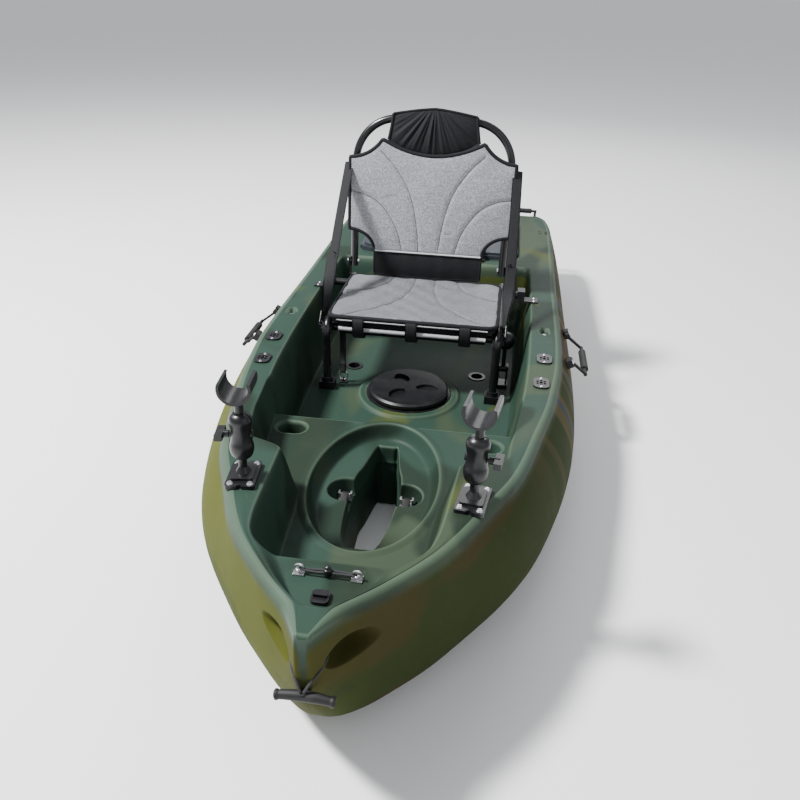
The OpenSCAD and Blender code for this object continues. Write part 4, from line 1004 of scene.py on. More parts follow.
@dataclass
class Hull:
    """The moulded hull: outer shell, deck, cockpit, console dish and drive well."""

    half_len: float = 1200.0
    half_beam: float = 450.0
    rail_h: float = 286.0
    bow_h: float = 342.0
    floor_h: float = 106.0
    console_h: float = 198.0
    gunwale_r: float = 20.0
    beam_curve: tuple = ((-1, 0.035), (-0.955, 0.12), (-0.89, 0.27), (-0.815, 0.44), (-0.69, 0.675),
                         (-0.58, 0.805), (-0.37, 0.945), (-0.15, 1), (0.3, 1), (0.75, 0.99), (0.95, 0.955), (1, 0.93))
    deck_curve: tuple = ((-1, 0.03), (-0.96, 0.095), (-0.9, 0.242), (-0.815, 0.41), (-0.69, 0.567),
                         (-0.595, 0.673), (-0.445, 0.767), (-0.31, 0.842), (-0.11, 0.9), (0.3, 0.905),
                         (0.85, 0.91), (0.97, 0.88), (1, 0.84))
    inner_curve: tuple = ((-0.955, 0.03), (-0.93, 0.11), (-0.9, 0.19), (-0.86, 0.275), (-0.82, 0.325), (-0.77, 0.355),
                          (-0.655, 0.38), (-0.585, 0.395))
    rail_curve: tuple = ((-0.545, 0.6), (-0.46, 0.62), (-0.236, 0.685), (0.1, 0.715), (0.45, 0.715))
    keel_curve: tuple = ((-1, 0.62), (-0.985, 0.48), (-0.955, 0.29), (-0.92, 0.15), (-0.875, 0.06), (-0.8, 0.0),
                         (0.75, 0.0), (0.9, 0.03), (1, 0.1))
    flat_curve: tuple = ((-1, 0.1), (-0.9, 0.2), (-0.7, 0.42), (-0.4, 0.58), (0.8, 0.62), (1, 0.6))

    def beam(self, u: Array) -> Array:
        """Half beam."""
        return self.half_beam * along(self.beam_curve, u)

    def deck(self, u: Array) -> Array:
        """Half width of the deck, never more than the beam."""
        return np.minimum(self.half_beam * along(self.deck_curve, u), self.beam(u))

    def inner(self, u: Array) -> Array:
        """Half width between the cockpit's rails, kept inside the gunwale."""
        bow = along(self.inner_curve, u)
        rail = along(self.rail_curve, u)
        wide = self.half_beam * blend_to(bow, rail, smooth(-0.59, -0.545, u))
        return np.minimum(wide, (self.deck(u) - self.roll(u)) * 0.92)

    def roll(self, u: Array) -> Array:
        """Radius of the gunwale's rounded edge."""
        return np.minimum(self.gunwale_r, self.deck(u) * 0.4)

    def keel(self, u: Array) -> Array:
        """Height of the keel."""
        return 4 + self.bow_h * along(self.keel_curve, u)

    def top(self, u: Array) -> Array:
        """Height of the deck and rails."""
        return self.rail_h + (self.bow_h - self.rail_h) * np.clip((-0.3 - u) / 0.7, 0, 1) ** 1.25

    def floor(self, u: Array) -> Array:
        """Height of the floor: bow tray, console, cockpit and stern deck in turn."""
        level = blend_to(self.top(u), self.bow_h - 34, smooth(-0.957, -0.933, u))
        level = blend_to(level, self.console_h, smooth(-0.852, -0.80, u))
        level = blend_to(level, self.floor_h, smooth(-0.343, -0.322, u))
        return blend_to(level, self.top(u), smooth(0.405, 0.455, u))

    def rail_x(self, u: float) -> float:
        """Middle of the rail's flat top."""
        at = np.array([u])
        return float((self.deck(at) - self.gunwale_r + self.inner(at) + 9)[0] / 2 + 2)

    def dish(self) -> tuple[float, float, float]:
        """Middle, half width and half length of the console dish."""
        return -0.53 * self.half_len, 136.0, 0.19 * self.half_len

    def oval(self, x: float, y: float, a: float, b: float, count: int = 96) -> Array:
        """An ellipse as a closed outline."""
        t = np.linspace(0, 2 * math.pi, count, endpoint=False)
        return np.stack([x + a * np.cos(t), y + b * np.sin(t)], axis=1)

    def slot(self) -> Array:
        """Outline of the drive well: narrow astern, wide at the latches, tapering to the bow."""
        y, _, b = self.dish()
        rear, front, lobe = y + b * 0.8, y - b * 0.78, y + 4
        half = [(25, rear - 4), (39, blend_to(rear, lobe, 0.45)), (51, lobe + 46), (51, lobe - 46),
                (43, blend_to(lobe, front, 0.75)), (31, front + 3)]
        left = [(-x, yy) for x, yy in reversed(half)]
        return curve([*half, (16, front - 1), (-16, front - 1), *left, (-15, rear), (15, rear)], 110, closed=True)[::-1]

    def outlines(self) -> list[Outline]:
        """Every hollow of the deck, from the widest to the deepest."""
        made = [
            Outline(rounded_outline(self.lid_w + 8, self.lid_l + 8, 60) + (0, self.lid_y), 12, 5.0),
            Outline(rounded_outline(self.lid_w - 60, self.lid_l - 60, 50) + (0, self.lid_y), 0, 10.0,
                    self.rail_h - 150),
            Outline(self.oval(0, self.hatch_y, 119.3, 119.3), 4, 3.0),
            Outline(self.oval(0, self.hatch_y, 97.5, 97.5), 0, 4.0, self.floor_h - 68),
        ]
        for side in (-1, 1):
            made.append(Outline(self.oval(side * self.rail_x(0.014), 16.8, 13, 26), 14, 5.0))
            made.append(Outline(self.oval(side * 184.5, 56.4, 20.3, 20.3, 48), 0, 3.0, 6.0, True))
        return made

    hatch_y: float = -87.6
    lid_y: float = 840.0
    lid_w: float = 560.0
    lid_l: float = 470.0

    def deck_points(self, u: Array) -> Array:
        """Deck from the left gunwale to the right one, before its hollows.

        Each row runs over the rail's flat top, down the inner wall on a smooth step, and over the floor.
        """
        d, g, i = self.deck(u), self.roll(u), self.inner(u)
        outer = d - g
        x0 = i + np.minimum(9, (outer - i) * 0.5)
        x1 = i - np.minimum(40 - 24 * smooth(-0.50, -0.44, u) * (1 - smooth(-0.345, -0.30, u)), i * 0.35)
        zd, zf = self.top(u), self.floor(u)
        rail = np.linspace(0, 1, 12)[None, :-1]
        wall = np.linspace(0, 1, 19)[None, :-1]
        flat = np.linspace(0, 1, 66)[None]
        crown = 1.2 * np.sin(rail * math.pi) * smooth(-0.99, -0.93, u)[:, None]
        xs = np.hstack([blend_to(outer[:, None], x0[:, None], rail), blend_to(x0[:, None], x1[:, None], wall),
                        x1[:, None] * (1 - flat)])
        drop = smooth(0.08, 0.92, wall)
        zs = np.hstack([zd[:, None] + crown, blend_to(zd[:, None], zf[:, None], drop),
                        np.broadcast_to(zf[:, None], (len(u), flat.shape[1]))])
        past = np.clip((np.abs(u) - 1) * self.half_len / 6.0, 0, 1)[:, None]
        inset = 6.0 * (1 - np.sqrt(np.maximum(1 - past**2, 0)))
        xs = xs * (1 - inset / self.beam(u)[:, None])
        zs = zs - inset
        half = np.stack([xs, np.broadcast_to((u * self.half_len)[:, None], xs.shape), zs], axis=2)
        other = half[:, -2::-1] * (-1, 1, 1)
        return np.concatenate([half, other], axis=1)

    def rims(self, p: Array) -> None:
        """Raises the pad under the round hatch."""
        ring = np.hypot(p[..., 0], p[..., 1] - self.hatch_y)
        p[..., 2] += 8.0 * (1 - smooth(136, 149, ring)) * (p[..., 2] < self.floor_h + 20)

    def cut(self, p: Array, ring: Array, inset: float) -> Array:
        """Marks the points of the deck that lie inside a ring, after pulling the nearest ones onto it.

        Args:
            p: deck points, changed in place.
            ring: closed outline in plan.
            inset: how far inside the ring the cut runs.

        Returns:
            Mask of the points inside the cut.
        """
        low, high = ring.min(axis=0) - 8, ring.max(axis=0) + 8
        local = ((p[..., 0] > low[0]) & (p[..., 0] < high[0]) & (p[..., 1] > low[1]) & (p[..., 1] < high[1]))
        inside = np.zeros(p.shape[:2], dtype=bool)
        if local.any():
            gap, _, _ = Outline(ring, 0, 1).distance(p[local][:, 0], p[local][:, 1])
            inside[local] = gap < -inset
        return inside

    def edges(self, p: Array) -> Array:
        """How sharply each point stands out of the surface round it, from 0 to 1; the hull finish paints a pale
        highlight where it is high.
        """
        padded = np.pad(p, ((1, 1), (1, 1), (0, 0)), mode="edge")
        mean = (padded[:-2, 1:-1] + padded[2:, 1:-1] + padded[1:-1, :-2] + padded[1:-1, 2:]) / 4
        du, dv = padded[2:, 1:-1] - padded[:-2, 1:-1], padded[1:-1, 2:] - padded[1:-1, :-2]
        normal = unit(np.cross(du, dv))
        normal *= np.sign(normal[..., 2:] + 1e-9)
        out = np.sum((p - mean) * normal, axis=-1)
        soft = np.pad(np.clip(out / 0.9, 0, 1), 1, mode="edge")
        return (soft[1:-1, 1:-1] * 2 + soft[:-2, 1:-1] + soft[2:, 1:-1] + soft[1:-1, :-2] + soft[1:-1, 2:]) / 6

    def deck_piece(self, name: str, u0: float, u1: float, rows: int) -> bpy.types.Object:
        """Builds one stretch of the deck with its hollows."""
        p = self.deck_points(np.linspace(u0, u1, rows))
        self.rims(p)
        hole = np.zeros(p.shape[:2], dtype=bool)
        for outline in self.outlines():
            gap = outline.apply(p, 2.1)
            if outline.through:
                hole |= gap <= -outline.wall + 0.01
        for ring in [self.dish_ring(21.0), *(self.pocket_ring(s, 9.0) for s in (-1, 1))]:
            hole |= self.cut(p, ring, 6.0)
        keep = ~(hole[:-1, :-1] & hole[1:, :-1] & hole[:-1, 1:] & hole[1:, 1:])
        # edge: how far each point stands out, which the hull finish paints as a pale highlight on rims and crests
        return Piece(name).grid(p, keep=keep, edge=self.edges(p), side=0.0).done("hull_plastic", "hull")

    def dish_ring(self, gap: float) -> Array:
        """The dish's oval grown outwards by a gap, from 360 angles."""
        y, a, b = self.dish()
        return self.oval(0, y, a + gap, b + gap, 360)

    def pocket_ring(self, side: int, gap: float) -> Array:
        """One console pocket's oval grown outwards by a gap."""
        pill = rounded_outline(74 + 2 * gap, 54 + 2 * gap, 26.9 + gap)
        return even(pill + np.array([side * 229.0, -0.385 * self.half_len]), 120)

    def deck_height(self, xy: Array) -> Array:
        """Height of the plain floor under points in plan."""
        return self.floor(xy[:, 1] / self.half_len)

    def pocket_piece(self) -> bpy.types.Object:
        """Pockets at the console's rear corners: rings from the rim down a sloped wall to a round bottom."""
        piece = Piece("console_pockets")
        steps = [(9, 0.15, 0), (6, 0.4, 0), (3, 0.5, 0), (0.5, 0, 0), (-1.5, -1.5, 0), (-3, -4, 0), (-5, -10, 0.2),
                 (-8, -22, 0.5), (-11, -34, 0.8), (-14, -41, 1), (-19, -45, 1), (-26, -46, 1), (-34, -46, 1)]
        for side in (-1, 1):
            rows = []
            for gap, drop, _ in steps:
                ring = self.pocket_ring(side, gap)
                rows.append(np.column_stack([ring, np.full(len(ring), self.console_h + drop)]))
            p = np.stack(rows)
            rim = np.zeros(p.shape[:2])
            # rows 2 to 5 form the pocket's rim, which the hull finish paints with a pale highlight
            rim[2:6] = 0.5
            piece.grid(p, wrap_v=True, flip=False, edge=rim, side=0.0)
            piece._fan(np.arange(120) + piece.count - p.shape[0] * p.shape[1] + (len(rows) - 1) * 120, True)
        return piece.done("hull_plastic", "hull")

    def reach(self, outline: Array, angles: Array, centre: Sequence[float]) -> Array:
        """Distance from a centre to a star-shaped outline at each angle."""
        away = outline - np.asarray(centre)
        own = np.unwrap(np.arctan2(away[:, 1], away[:, 0]))
        if own[-1] < own[0]:
            own, away = own[::-1], away[::-1]
        radius = np.linalg.norm(away, axis=1)
        start = own[0]
        wrapped = (angles - start) % (2 * math.pi) + start
        return np.interp(wrapped, np.append(own, own[0] + 2 * math.pi), np.append(radius, radius[0]))

    def well_piece(self) -> bpy.types.Object:
        """The console dish and the drive well.

        Rings run from the dish's outer lip over its raised rim, down its wall, over its floor to the
        well's outline, down to the latch lobes, in to the slot and down the slot to the keel.
        """
        y, a, b = self.dish()
        centre = (0.0, y + 4)
        angles = np.linspace(0, 2 * math.pi, 420, endpoint=False)
        way = np.stack([np.cos(angles), np.sin(angles)], axis=1)
        well = self.console_h - 34
        slot = self.reach(self.slot(), angles, centre)
        lobes = np.zeros_like(angles)
        for side in (-1, 1):
            lobes = np.maximum(lobes, self.reach_circle(side * 63.0, 40.0, angles))
        edge = np.maximum(slot, lobes)
        for _ in range(5):
            edge = (np.roll(edge, 1) + edge * 2 + np.roll(edge, -1)) / 4
        edge = np.maximum(edge, slot)
        rows: list[tuple[Array, Array, float]] = []

        def oval_row(gap: float, height: float, rim: float = 0.0, follow: bool = False) -> None:
            ring = self.reach(self.oval(0, y, a + gap, b + gap, 360), angles, centre)
            xy = np.asarray(centre) + way * ring[:, None]
            base = self.deck_height(xy) if follow else np.full(len(ring), self.console_h)
            rows.append((ring, np.maximum(base, self.console_h - 60) + height, rim))

        # the third number of each row is its edge value: the hull finish paints a pale highlight where it is high, on
        # the dish's lip
        for gap, height, rim in ((22, -0.4, 0), (18, 0.3, 0), (14, 1.3, 0.05), (10, 2.4, 0.15), (6, 3.1, 0.25),
                                 (3, 3.0, 0.4), (0.6, 1.6, 0.5), (-1.4, -1.4, 0.25), (-3.4, -5.5, 0), (-5.6, -11, 0),
                                 (-8.5, -17.5, 0), (-11.5, -23.5, 0), (-14.5, -28.5, 0), (-18, -32, 0),
                                 (-22, -33.7, 0), (-25, -34, 0)):
            oval_row(gap, height, rim, gap > 12)
        outer = rows[-1][0]
        for share in (0.25, 0.5, 0.75, 0.92):
            rows.append((blend_to(outer, edge + 7, share), np.full_like(edge, well), 0.0))
        # edge values here paint a pale highlight along the well's lip
        for inset, drop, rim in ((5, 0.2, 0.15), (3, -0.4, 0.4), (1.2, -1.5, 0.55), (0, -3.4, 0.5), (-1, -7, 0.1),
                                 (-2.4, -16, 0), (-4, -26, 0), (-6, -34, 0), (-9, -39, 0), (-13, -41.5, 0)):
            ring = np.maximum(edge + inset, slot + min(inset, 0) * 0.35)
            rows.append((ring, np.full_like(edge, well + drop), rim))
        floor = rows[-1][0]
        for share in (0.4, 0.8):
            rows.append((blend_to(floor, np.minimum(floor, slot + 3), share), np.full_like(edge, well - 42.0), 0.0))
        for inset, height in ((1.5, 121), (-0.5, 118.5), (-2.0, 113), (-3.5, 100), (-5, 70), (-6.5, 40), (-8, 3.9)):
            rows.append((slot + inset * (1 - lobes * 0), np.full_like(edge, float(height)), 0.1))
        p = np.stack([np.column_stack([np.asarray(centre) + way * ring[:, None], height]) for ring, height, _ in rows])
        rims = np.stack([np.full(len(angles), rim) for _, _, rim in rows])
        return Piece("console_dish").grid(p, wrap_v=True, edge=rims, side=0.0).done("hull_plastic", "hull")

    def reach_circle(self, x: float, radius: float, angles: Array) -> Array:
        """Distance from the well's centre to the far side of a latch lobe, 0 where it is missed."""
        along_way = x * np.cos(angles)
        under = radius**2 - (x * np.sin(angles)) ** 2
        return np.where((under > 0) & (along_way > 0), along_way + np.sqrt(np.maximum(under, 0)), 0.0)

    def shell_points(self, u: Array, fine: int = 1) -> Array:
        """Outer shell from the right gunwale under the keel to the left one.

        Each ring is flat at the keel, a quarter ellipse round the chine, an outward-leaning parabola up
        the side and a quarter circle at the gunwale.
        """
        b, d, g = self.beam(u), self.deck(u), self.roll(u)
        zb, zd = self.keel(u), self.top(u)
        zc = blend_to(zb, zd, 0.44)
        kw = b * along(self.flat_curve, u)
        flat = np.linspace(0, 1, 10)[None, :-1]
        angle = np.linspace(0, math.pi / 2, 18 * fine)[None, :-1]
        rise = np.linspace(0, 1, 16 * fine * fine)[None, :-1]
        roll = np.linspace(0, math.pi / 2, 9)[None]

        def col(v: Array) -> Array:
            return v[:, None]

        xs = np.hstack([col(kw) * flat, col(kw) + col(b - kw) * np.sin(angle), col(b) - col(b - d) * rise**2,
                        col(d) - col(g) * (1 - np.cos(roll))])
        zs = np.hstack([np.broadcast_to(col(zb), (len(u), flat.shape[1])),
                        col(zb) + col(zc - zb) * (1 - np.cos(angle)), blend_to(col(zc), col(zd - g), rise),
                        col(zd - g) + col(g) * np.sin(roll)])
        y = np.broadcast_to(col(u * self.half_len), xs.shape)
        share = y / self.half_len
        skid = (1 - smooth(62, 75, xs)) * smooth(-0.75, -0.72, share) * (1 - smooth(0.68, 0.7, share))
        zs = zs - 4 * skid
        half = np.stack([xs, y, zs], axis=2)
        return np.concatenate([half[:, ::-1], (half * (-1, 1, 1))[:, 1:]], axis=1)

    def scoops(self, p: Array) -> None:
        """Hand scoops beside the stem: each side is pressed in to an ellipsoid, leaving a web between."""
        x, y, z = p[..., 0], p[..., 1], p[..., 2]
        reach = 1 - ((y + 1152) / 54.0) ** 2 - ((z - 264.0 + (y + 1152) * 0.10) / 27.0) ** 2
        depth = np.clip(reach, 0, 1)
        face = 62 - 46 * np.sqrt(depth)
        wide = np.abs(x)
        press = np.maximum(wide - face, 0) * smooth(0.0, 0.25, reach)
        p[..., 0] = np.sign(x) * (wide - press)

    def nose(self, row: Array, way: float, size: float = 6.0) -> list[Array]:
        """Rings that round off the stem or the transom, shrinking as a quarter circle."""
        made = []
        for t in np.linspace(0.25, 1, 5) * math.pi / 2:
            ring = row.copy()
            inset = size * (1 - math.cos(t))
            tall = (row[:, 2].max() - row[:, 2].min()) / 2
            middle_z = row[:, 2].min() + tall
            ring[:, 0] *= 1 - inset / abs(row[:, 0]).max()
            ring[:, 2] = middle_z + (ring[:, 2] - middle_z) * (1 - inset / tall)
            ring[:, 1] += way * size * math.sin(t)
            made.append(ring)
        return made

    def shell_piece(self, name: str, u: Array, fine: int, ends: tuple[bool, bool],
                    replaces: Sequence[str] = ()) -> bpy.types.Object:
        """Builds one stretch of the outer shell.

        Args:
            name: name of the piece.
            u: stations along the hull.
            fine: how much closer the points are round the section.
            ends: whether its bow end and its stern end are closed.
            replaces: CAD nodes that it stands for.

        Returns:
            The object.
        """
        p = self.shell_points(u, fine)
        self.scoops(p)
        bow = self.nose(p[0], -1.0)[::-1] if ends[0] else []
        stern = self.nose(p[-1], 1.0) if ends[1] else []
        p = np.stack([*bow, *p, *stern])
        y, x = p[..., 1], p[..., 0]
        flat = p[..., 2] < 30
        gap, _, _ = Outline(self.slot(), 0, 1.0, 0.0).distance(x, y)
        hole = (gap < -6) & flat
        for side in (-1, 1):
            hole |= (np.hypot(x - side * 184.5, y - 56.4) < 18) & flat
        keep = ~(hole[:-1, :-1] & hole[1:, :-1] & hole[:-1, 1:] & hole[1:, 1:])
        height = p[..., 2] / self.top(np.clip(y / self.half_len, -1, 1))
        # edge rises on the rolled gunwale, which the hull finish paints with a pale highlight
        piece = Piece(name).grid(p, keep=keep, edge=smooth(0.93, 1.0, height) * 0.6,
                                 side=1 - smooth(0.90, 0.985, height), flip=True)
        first = np.arange(p.shape[1])
        if ends[0]:
            piece._fan(first, True)
        if ends[1]:
            piece._fan(first + (len(p) - 1) * p.shape[1], False)
        return piece.done("hull_plastic", "hull", replaces)

    def build(self) -> None:
        """Makes the shell, the deck, the dish with its well, and the pockets."""
        split = -0.84
        self.shell_piece("hull_bow_shell", np.linspace(-1, split, 110), 2, (True, False), ["hull"])
        self.shell_piece("hull_shell", np.linspace(split, 1, 330), 1, (False, True))
        self.deck_piece("hull_bow_deck", -1.0052, -0.30, 300)
        self.deck_piece("hull_cockpit", -0.30, 0.38, 205)
        self.deck_piece("hull_stern_deck", 0.38, 1.0052, 185)
        self.well_piece()
        self.pocket_piece()


# ---------------------------------------------------------------- seat


def gap_to(lines: Sequence[Array], x: Array, y: Array, closed: bool = False) -> Array:
    """Distance in plan from points to the nearest of several lines."""
    best = np.full(x.shape, 1e9)
    for line in lines:
        after = np.roll(line, -1, axis=0) if closed else line[1:]
        for a, b in zip(line if closed else line[:-1], after):
            way = b - a
            t = np.clip(((x - a[0]) * way[0] + (y - a[1]) * way[1]) / max(float(way @ way), 1e-9), 0, 1)
            best = np.minimum(best, np.hypot(x - a[0] - t * way[0], y - a[1] - t * way[1]))
    return best


@dataclass
class Quilt:
    """A padded panel, blown up between its stitch lines and set in place.

    The outline and seams are in the panel's own plane in millimetres, and its front is its positive side.
    """

    name: str
    outline: Array
    thick: float
    seams: list[Array]
    place: Callable[[Array], Array]
    cap: float = 8.0
    wrinkle: float = 0.0
    surface: Array = field(default_factory=lambda: np.zeros((0, 3)))

    def blow(self, form: bpy.types.Object) -> None:
        """Inflates the form with cloth pressure, held at its seams and at its rim."""
        net = form.modifiers.new("net", "REMESH")
        net.mode = "VOXEL"
        net.voxel_size = 0.0052
        bpy.context.view_layer.update()
        mesh = bpy.data.meshes.new_from_object(form.evaluated_get(bpy.context.evaluated_depsgraph_get()))
        form.modifiers.clear()
        form.data = mesh
        start = self.read(mesh)
        rim = gap_to([self.outline], start[:, 0], start[:, 1], True)
        seam = gap_to(self.seams, start[:, 0], start[:, 1]) if self.seams else rim
        hold = np.maximum(1 - smooth(1.5, 6.0, seam), 1 - smooth(3.0, 9.0, rim))
        group = form.vertex_groups.new(name="held")
        for level in range(1, 6):
            chosen = np.flatnonzero(np.round(hold * 5) == level)
            group.add(chosen.tolist(), level / 5, "REPLACE")
        cloth = form.modifiers.new("cloth", "CLOTH")
        cloth.settings.vertex_group_mass = "held"
        cloth.settings.quality = 6
        cloth.settings.mass = 0.2
        cloth.settings.tension_stiffness = 6
        cloth.settings.compression_stiffness = 6
        cloth.settings.shear_stiffness = 6
        cloth.settings.bending_stiffness = 0.4
        cloth.settings.use_pressure = True
        cloth.settings.uniform_pressure_force = 4.0
        cloth.settings.effector_weights.gravity = 0.0
        cloth.point_cache.frame_start = 1
        cloth.point_cache.frame_end = 20
        for moment in range(1, 21):
            bpy.context.scene.frame_set(moment)
        done = form.evaluated_get(bpy.context.evaluated_depsgraph_get()).to_mesh()
        end = self.read(done)
        bpy.context.scene.frame_set(1)
        form.modifiers.clear()
        move = end - start
        far = np.linalg.norm(move, axis=1, keepdims=True)
        move *= np.minimum(1.0, self.cap / np.maximum(far, 1e-6))
        log.info("%s: blown by %.1f mm at most", self.name, float(far.max()))
        self.write(form.data, start + move)

    @staticmethod
    def read(mesh: bpy.types.Mesh) -> Array:
        """Points of a mesh in millimetres."""
        flat = np.zeros(len(mesh.vertices) * 3, dtype=np.float32)
        mesh.vertices.foreach_get("co", flat)
        return flat.reshape(-1, 3).astype(float) / MM

    @staticmethod
    def write(mesh: bpy.types.Mesh, points: Array) -> None:
        """Puts points in millimetres back into a mesh."""
        mesh.vertices.foreach_set("co", (points * MM).astype(np.float32).ravel())
        mesh.update()

    def build(self, slot: str, body: str, replaces: Sequence[str], fill: float) -> bpy.types.Object:
        """Makes the panel.

        Args:
            slot: material slot.
            body: CAD body that it rides.
            replaces: CAD nodes that it stands for.
            fill: how full it is.

        Returns:
            The object.
        """
        form = Piece(self.name).slab(self.outline, -self.thick / 2, self.thick / 2, self.thick * 0.42).done(slot, "")
        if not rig.quick():
            self.blow(form)
        flat = self.read(form.data)
        if self.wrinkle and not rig.quick():
            wave = np.sin(flat[:, 0] * 0.045 + flat[:, 1] * 0.09 + 2.4 * np.sin(flat[:, 0] * 0.017))
            wave += 0.6 * np.sin(flat[:, 0] * 0.11 - flat[:, 1] * 0.06 + 1.7)
            flat[:, 2] += self.wrinkle * wave * smooth(-1, 1, flat[:, 2])
        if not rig.quick():
            sunk = gap_to(self.seams, flat[:, 0], flat[:, 1])
            flat[:, 2] -= 3.0 * np.exp(-((sunk / 3.2) ** 2)) * (flat[:, 2] > 0)
        self.surface = flat
        mesh = form.data
        index = np.zeros(len(mesh.loops), dtype=np.int32)
        mesh.loops.foreach_get("vertex_index", index)
        for layer in list(mesh.uv_layers):
            mesh.uv_layers.remove(layer)
        layer = mesh.uv_layers.new(name="run")
        layer.data.foreach_set("uv", (flat[index, :2] * MM).astype(np.float32).ravel())
        self.write(mesh, self.place(flat))
        mesh.polygons.foreach_set("use_smooth", np.ones(len(mesh.polygons), dtype=bool))
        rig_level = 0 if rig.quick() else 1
        return dress(form, slot, body, replaces, fill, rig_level)

    def height(self, line: Array) -> Array:
        """Height of the panel's front under points in its plane."""
        front = self.surface[self.surface[:, 2] > 0]
        found = []
        for x, y in line:
            away = (front[:, 0] - x) ** 2 + (front[:, 1] - y) ** 2
            nearest = np.argpartition(away, 4)[:4]
            found.append(float(front[nearest, 2].mean()))
        values = np.array(found)
        padded = np.pad(values, 2, mode="edge")
        return np.convolve(padded, np.ones(5) / 5, mode="valid")

    def threads(self, name: str, body: str, radius: float = 0.8) -> bpy.types.Object:
        """Lays a stitched thread in every seam."""
        piece = Piece(name)
        for seam in self.seams:
            line = curve(seam, 90)
            path = np.column_stack([line, self.height(line) + 0.35])
            piece.tube(self.place(path), radius, 6)
        return piece.done("thread", body)


@dataclass
class Seat:
    """The framed seat: quilted back and pan, head panel, lumbar band, binding and piping."""

    half: float = 241.0
    back_h: float = 421.0
    low: float = 42.0
    tube_r: float = 12.5

    def back(self, p: Array) -> Array:
        """From the back's plane (across, up, towards the bow) to the boat."""
        local = np.stack([p[..., 0], -p[..., 2], p[..., 1]], axis=-1)
        return turned(local, "X", -7.0) + np.array([0.0, 282.0, 358.0])

    def pan(self, p: Array) -> Array:
        """From the pan's plane (across, towards the stern, up) to the boat, with a sag in its middle."""
        sag = 7.0 * (1 - (p[..., 0] / 228) ** 2) * np.sin(np.clip((p[..., 1] + 80) / 328, 0, 1) * math.pi)
        return np.stack([p[..., 0], p[..., 1], p[..., 2] + 321.3 - sag], axis=-1)

    @staticmethod
    def arc(x: float, z: float, a: float, b: float, start: float, end: float, count: int = 18) -> Array:
        """Points of an elliptical arc, angles in degrees."""
        t = np.radians(np.linspace(start, end, count))
        return np.stack([x + a * np.cos(t), z + b * np.sin(t)], axis=1)

    def back_outline(self) -> Array:
        """Back panel: cut-out lower corners, upright sides, concave shoulders and a dipped top."""
        h, low = self.half, self.low
        lower = self.arc(h, low, 78, 62, 180, 90)
        upper = self.arc(h + 5, self.back_h + 1, 116, 112, 268, 212)
        x_end, z_end = upper[-1]
        t = np.linspace(1, -1, 25)[1:-1]
        top = np.stack([x_end * t, 323 + (z_end - 323) * t**2], axis=1)
        right = np.vstack([lower, upper])
        left = (right * (-1, 1))[::-1]
        base = np.stack([np.linspace(-(h - 78), h - 78, 14)[1:-1], np.full(12, low)], axis=1)
        return even(np.vstack([right, top, left, base]), 260)

    def mirrored(self, lines: Sequence[Sequence[Sequence[float]]]) -> list[Array]:
        """Smooth lines and their mirror images."""
        made = []
        for line in lines:
            smooth_line = curve(line, 40)
            made += [smooth_line, smooth_line * (-1, 1)]
        return made

    def back_panel(self) -> None:
        """Quilted back with its threads, black binding and pale piping."""
        seams = self.mirrored([
            [(151, 331), (107, 286), (69, 228), (49, 172), (36, 108), (29, 44)],
            [(239, 214), (196, 206), (151, 182), (116, 140), (93, 95), (79, 44)]])
        outline = self.back_outline()
        front = self.tube_r + 1.5 + 7
        quilt = Quilt("back_pad_mesh", outline, 12.0, seams,
                      lambda p: self.back(p + np.array([0, 0, front])), 9.5)
        quilt.build("seat_mesh", "seat_back", ["back_pad"], 0.45)
        quilt.threads("back_threads", "seat_back")
        near = outline[:, 1] > self.low + 2
        run = np.flatnonzero(near & ~np.roll(near, 1))[0]
        rim = np.roll(outline, -run, axis=0)[: int(near.sum())]
        path = self.back(np.column_stack([rim, np.full(len(rim), front)]))
        binding = Piece("back_binding")
        binding.tube(path, 6.4, 12, flat=1.15, up=(0, 1, 0))
        binding.done("black_fabric", "seat_back")
        x = np.linspace(-(self.half - 80), self.half - 80, 60)
        pipe = self.back(np.column_stack([x, np.full(60, self.low), np.full(60, front + 5.5)]))
        Piece("back_piping").tube(pipe, 2.6, 10).done("piping", "seat_back")

    def head(self) -> None:
        """Gathered head panel wrapped over the hoop, with its edge binding."""
        s = np.linspace(-1, 1, 121)[None]
        low = 321 + 42 * s**2
        high = 451 - 17 * np.abs(s) ** 1.35
        t_front = np.linspace(0, 1, 44)[:, None]
        z_front = low + (high - low) * t_front
        side = 133 - 13 * np.sin(np.clip((z_front - 355) / 95, 0, 1) * math.pi / 2)
        x_front = s * side
        away = 470 - z_front
        fan = np.arctan2(x_front, away)
        fold = np.sin(fan * 27 + 1.6 * np.sin(fan * 9)) + 0.45 * np.sin(fan * 58 + 1.2)
        fade = np.sin(np.clip(t_front, 0, 1) * math.pi) ** 0.7 * (1 - s**6)
        bulge = 13 * np.sin(t_front**0.75 * math.pi) ** 0.8 * (1 - s**4)
        y_front = 15.0 + bulge + 2.5 * fold * fade + 3.5 * (1 - t_front)
        z_back = z_front[::-1]
        x_back = x_front[::-1]
        y_back = np.broadcast_to(-15.0 - 1.5 * np.sin(t_front * math.pi), z_back.shape)
        over = np.linspace(0, math.pi, 8)[1:-1, None]
        z_top = high + 3 * np.sin(over)
        x_top = np.broadcast_to(x_front[-1], (6, 121))
        y_top = 15.0 * np.cos(over) * np.ones((1, 121))
        grid = np.stack([np.vstack([x_front, x_top, x_back]), np.vstack([z_front, z_top, z_back]),
                         np.vstack([y_front, y_top, y_back])], axis=2)
        Piece("head_panel_cloth").grid(self.back(grid), wrap_u=True, flip=True).done(
            "black_fabric", "seat_back", ["head_panel"], 0.5)
        edge = Piece("head_binding")
        lower = np.column_stack([x_front[0], z_front[0], y_front[0] + 1.0])
        edge.tube(self.back(lower), 4.2, 10)
        upper = np.column_stack([x_front[-1], z_front[-1], np.full(121, 15.0)])
        edge.tube(self.back(upper), 3.2, 10)
        for column in (0, -1):
            line = np.column_stack([x_front[:, column], z_front[:, column], y_front[:, column]])
            edge.tube(self.back(line), 4.6, 10, up=(0, 1, 0))
        edge.done("black_fabric", "seat_back")

